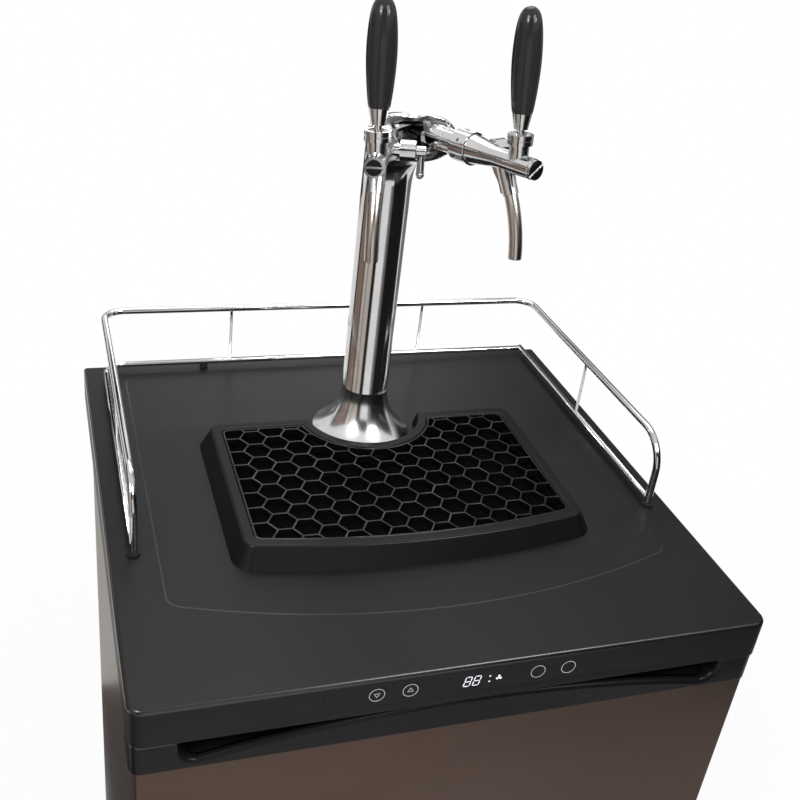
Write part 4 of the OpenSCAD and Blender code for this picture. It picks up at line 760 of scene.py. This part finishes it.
bm = bmesh.new()
for k in range(3):
    made = disc(bm, BLADE_R, 16)
    a = math.radians(90 + 120 * k)
    blade = (FAN_X + BLADE_OUT * math.cos(a), PRINT_Y, CONTROL_Z + BLADE_OUT * math.sin(a))
    bmesh.ops.translate(bm, verts=made, vec=blade)
outline(bm, HUB_R, HUB_LINE, 12, x=FAN_X, z=CONTROL_Z)
for z in (-DOT_UP, DOT_UP):
    outline(bm, DOT_R, DOT_LINE, 12, x=DOT_X, z=CONTROL_Z + z)
printed(bm, "display_signs", "cabinet", GLOW)

# Cabinet, casters and inner pieces
skin("cabinet_shell", "cabinet_wrapper", SIDE, 0.0006)
skin("back_panel", "cabinet_back", BACK)
skin("base_plate", "cabinet_base", PAINT, 0.0006)
# The liner's front frame takes the dark paint, and this dark frame also stands in for the painted shade in
# the gap round the door.
for name, material, keep, stands_for in (
        ("keg_space_liner", LINER, 1, ("inner_liner",)),
        ("keg_space_front_paint_and_shade", PAINT, -1, ())):
    bm = copy_of("inner_liner")
    bmesh.ops.delete(bm, geom=[v for v in bm.verts if (v.co.y - LINER_Y) * keep < 0], context="VERTS")
    piece(bm, name, material, "cabinet", stands_for, bevel=0.0005)
skin("door_liner", "door_inner_liner", LINER, 0.001)
skin("door_gasket", "door_seal", SEAL, 0.002, 3)
skin("compressor", "compressor_shell", PAINT, 0.002, 3, 20)
skin("fan_housing", "fan_frame", LINER, 0.0006)
skin("fan_rotor", "fan_blades", BLACK, 0.0004)
skin("cord_gland", "mains_bush", RUBBER, 0.0005)
skin("hinge_top", "door_hinge_upper", ZINC, 0.0004)
skin("hinge_bottom", "door_hinge_lower", ZINC, 0.0004)
skin("tower_nut", "tower_clamp_nut", ZINC, 0.0008)
skin("drink_pipes", "drink_tubes", ZINC, 0.0003)
skin("caster_plates", "caster_mounting_plates", ZINC, 0.0005)
for i in range(1, 5):
    skin("caster_fork_%d" % i, "caster_yoke_%d" % i, ZINC, 0.0005)
    skin("caster_wheel_%d" % i, "caster_tyre_%d" % i, RUBBER, 0.001, 3, 20)
for name, material in (("insulation_foam", FOAM), ("door_foam", FOAM), ("control_board", BOARD),
                       ("valve_rod_left", ZINC), ("valve_rod_right", ZINC)):
    nodes[name].data.materials.clear()
    nodes[name].data.materials.append(material)


# Floor, world, lights and camera
def seen_directly(tree):
    """1 for camera, mirror and glass rays, 0 for the light that falls on the object."""
    path = add(tree, "ShaderNodeLightPath")
    seen = computed(tree, "MAXIMUM", path.outputs["Is Camera Ray"], path.outputs["Is Glossy Ray"])
    return computed(tree, "MAXIMUM", seen, path.outputs["Is Transmission Ray"])


def floor_material():
    """White to camera and mirrors, with a little shade near the machine, and matt to the light."""
    mat = bpy.data.materials.new("pale_floor")
    tree = cleared(mat)
    matt = add(tree, "ShaderNodeBsdfDiffuse", {"Color": (0.85, 0.85, 0.85, 1)})
    lit = add(tree, "ShaderNodeEmission", {"Color": (1, 1, 1, 1), "Strength": 1.0})
    place = add(tree, "ShaderNodeTexCoord")
    far = add(tree, "ShaderNodeVectorMath", operation="LENGTH")
    fade = add(tree, "ShaderNodeMapRange", {"From Min": 0.8, "From Max": 1.8, "To Min": 0.88, "To Max": 1.0})
    mix = add(tree, "ShaderNodeMixShader")
    out = add(tree, "ShaderNodeOutputMaterial")
    tree.links.new(place.outputs["Object"], far.inputs[0])
    tree.links.new(far.outputs["Value"], fade.inputs["Value"])
    share = computed(tree, "MULTIPLY", seen_directly(tree), fade.outputs["Result"])
    tree.links.new(share, mix.inputs["Fac"])
    tree.links.new(matt.outputs["BSDF"], mix.inputs[1])
    tree.links.new(lit.outputs["Emission"], mix.inputs[2])
    tree.links.new(mix.outputs["Shader"], out.inputs["Surface"])
    return mat


bm = bmesh.new()
bmesh.ops.create_grid(bm, x_segments=1, y_segments=1, size=20)
floor = made_object(bm, "floor", floor_material())

world = bpy.data.worlds.new("studio")
bpy.context.scene.world = world
tree = cleared(world)
sky = add(tree, "ShaderNodeBackground", {"Color": (1, 1, 1, 1)})
strength = add(tree, "ShaderNodeMapRange", {"To Min": 0.45, "To Max": 1.0})
out = add(tree, "ShaderNodeOutputWorld")
tree.links.new(seen_directly(tree), strength.inputs["Value"])
tree.links.new(strength.outputs["Result"], sky.inputs["Strength"])
tree.links.new(sky.outputs["Background"], out.inputs["Surface"])


def lamp(name, place, aim, size, power):
    light = bpy.data.lights.new(name, "AREA")
    light.size = size
    light.energy = power
    obj = linked(name, light)
    obj.location = place
    obj.rotation_euler = (Vector(aim) - Vector(place)).to_track_quat("-Z", "Y").to_euler()


def spark(name, place):
    """Small lamp that shows as a round highlight on glossy pieces."""
    light = bpy.data.lights.new(name, "POINT")
    light.shadow_soft_size = SPARK_SIZE
    light.energy = SPARK_POWER
    linked(name, light).location = place


lamp("key_softbox", (-1.6, -1.5, 2.7), (0, 0, 0.9), 0.9, 45)
lamp("fill_softbox", (0.8, -1.5, 2.5), (0, 0, 0.9), 0.8, 24)
lamp("top_softbox", (0.2, 0.9, 2.9), (0, 0, 0.9), 1.4, 24)
lamp("back_softbox", (0.4, 2.3, 2.0), (0, 0.1, 0.9), 1.2, 6)
spark("spark_left", (-1.4, -1.5, 2.35))
spark("spark_right", (1.2, -1.5, 2.35))


def staged(bm, name, material):
    """Studio flag that only mirrors see."""
    obj = made_object(bm, name, material)
    obj.visible_camera = False
    obj.visible_diffuse = False
    obj.visible_shadow = False


def card(name, material, a, b, z0, z1):
    """Upright flag over the line from a to b."""
    bm = bmesh.new()
    line = [bm.verts.new((*p, z0)) for p in (a, b)]
    made = bmesh.ops.extrude_edge_only(bm, edges=[bm.edges.new(line)])
    bmesh.ops.translate(bm, verts=new_verts(made), vec=(0, 0, z1 - z0))
    staged(bm, name, material)


def on_circle(azimuth):
    """Point on the flags' circle about the tower; 0 degrees is the front and positive is right."""
    a = math.radians(azimuth)
    return FLAG_RADIUS * math.sin(a), TOWER_Y - FLAG_RADIUS * math.cos(a)


def mat_on_floor(name, material, x0, x1, y0, y1):
    """Flag that lies on the floor."""
    bm = bmesh.new()
    bmesh.ops.create_grid(bm, x_segments=1, y_segments=1, size=0.5)
    bmesh.ops.scale(bm, verts=bm.verts[:], vec=(x1 - x0, y1 - y0, 1))
    bmesh.ops.translate(bm, verts=bm.verts[:], vec=((x0 + x1) / 2, (y0 + y1) / 2, 0.002))
    staged(bm, name, material)


def flag_material(name, colour):
    return principled(name, {"Base Color": (*colour, 1), "Roughness": 0.9, "Specular IOR Level": 0.0})[0]


DARK = flag_material("dark_flag", (0.015, 0.014, 0.014))
WARM = flag_material("warm_flag", (0.30, 0.22, 0.18))
UMBER = flag_material("umber_flag", (0.10, 0.07, 0.055))
CREAM = flag_material("cream_flag", (0.72, 0.65, 0.58))
GREY = flag_material("grey_flag", (0.72, 0.69, 0.66))
HALF = flag_material("half_flag", (0.36, 0.36, 0.36))
SLATE = flag_material("slate_flag", (0.20, 0.20, 0.20))
BROWN = flag_material("brown_flag", (0.05, 0.036, 0.03))

# Flags on the circle: material, first and last azimuth in degrees, lower and upper height
FLAGS = (
    (DARK, -123, -114, 0.4, 1.5),
    (WARM, -114, -82, 0.4, 1.6),
    (UMBER, -82, -76, 0.4, 1.6),
    (CREAM, -76, -63, 0.4, 1.6),
    (SLATE, -63, -59, 0.4, 1.6),
    (CREAM, -59, -40, 0.4, 1.6),
    (DARK, -40, -25, 0.5, 1.6),
    (HALF, 6, 12, 0.5, 1.6),
    (SLATE, 12, 19, 0.5, 1.6),
    (DARK, 19, 55, 0.24, 1.6),
    (DARK, 55, 89, 0.24, 1.6),
    (GREY, 6, 80, 0.0, 0.24),
)
for k, (material, start, end, z0, z1) in enumerate(FLAGS, 1):
    card("flag_%d" % k, material, on_circle(start), on_circle(end), z0, z1)
card("flag_right_back", SLATE, (1.5, 0.3), (0.8, 1.6), 0.5, 1.9)
card("flag_back", DARK, (-2.2, 2.2), (2.2, 2.2), 0.5, 1.15)
card("flag_back_high", DARK, (-1.2, 2.2), (1.7, 2.2), 1.98, 2.8)
card("flag_front", DARK, (-1.8, -1.9), (0.2, -1.9), 1.7, 2.8)
mat_on_floor("flag_low", BROWN, -1.0, -0.32, -0.3, 0.65)
mat_on_floor("flag_low_back", GREY, -1.2, -0.32, 0.65, 1.6)
mat_on_floor("flag_low_left", DARK, -1.6, -0.45, -0.7, -0.3)

camera = bpy.data.cameras.new("camera")
camera.lens = 48.195
camera.sensor_width = 36.0
camera.shift_x = -0.00804
camera.shift_y = 0.0168
view = linked("camera", camera)
aim = Vector(CAMERA_AHEAD).to_track_quat("-Z", "Y").to_matrix().to_4x4()
view.matrix_world = Matrix.Translation(CAMERA_PLACE) @ aim @ Matrix.Rotation(CAMERA_ROLL, 4, "Z")
bpy.context.scene.camera = view
bpy.context.scene.view_settings.view_transform = "Standard"
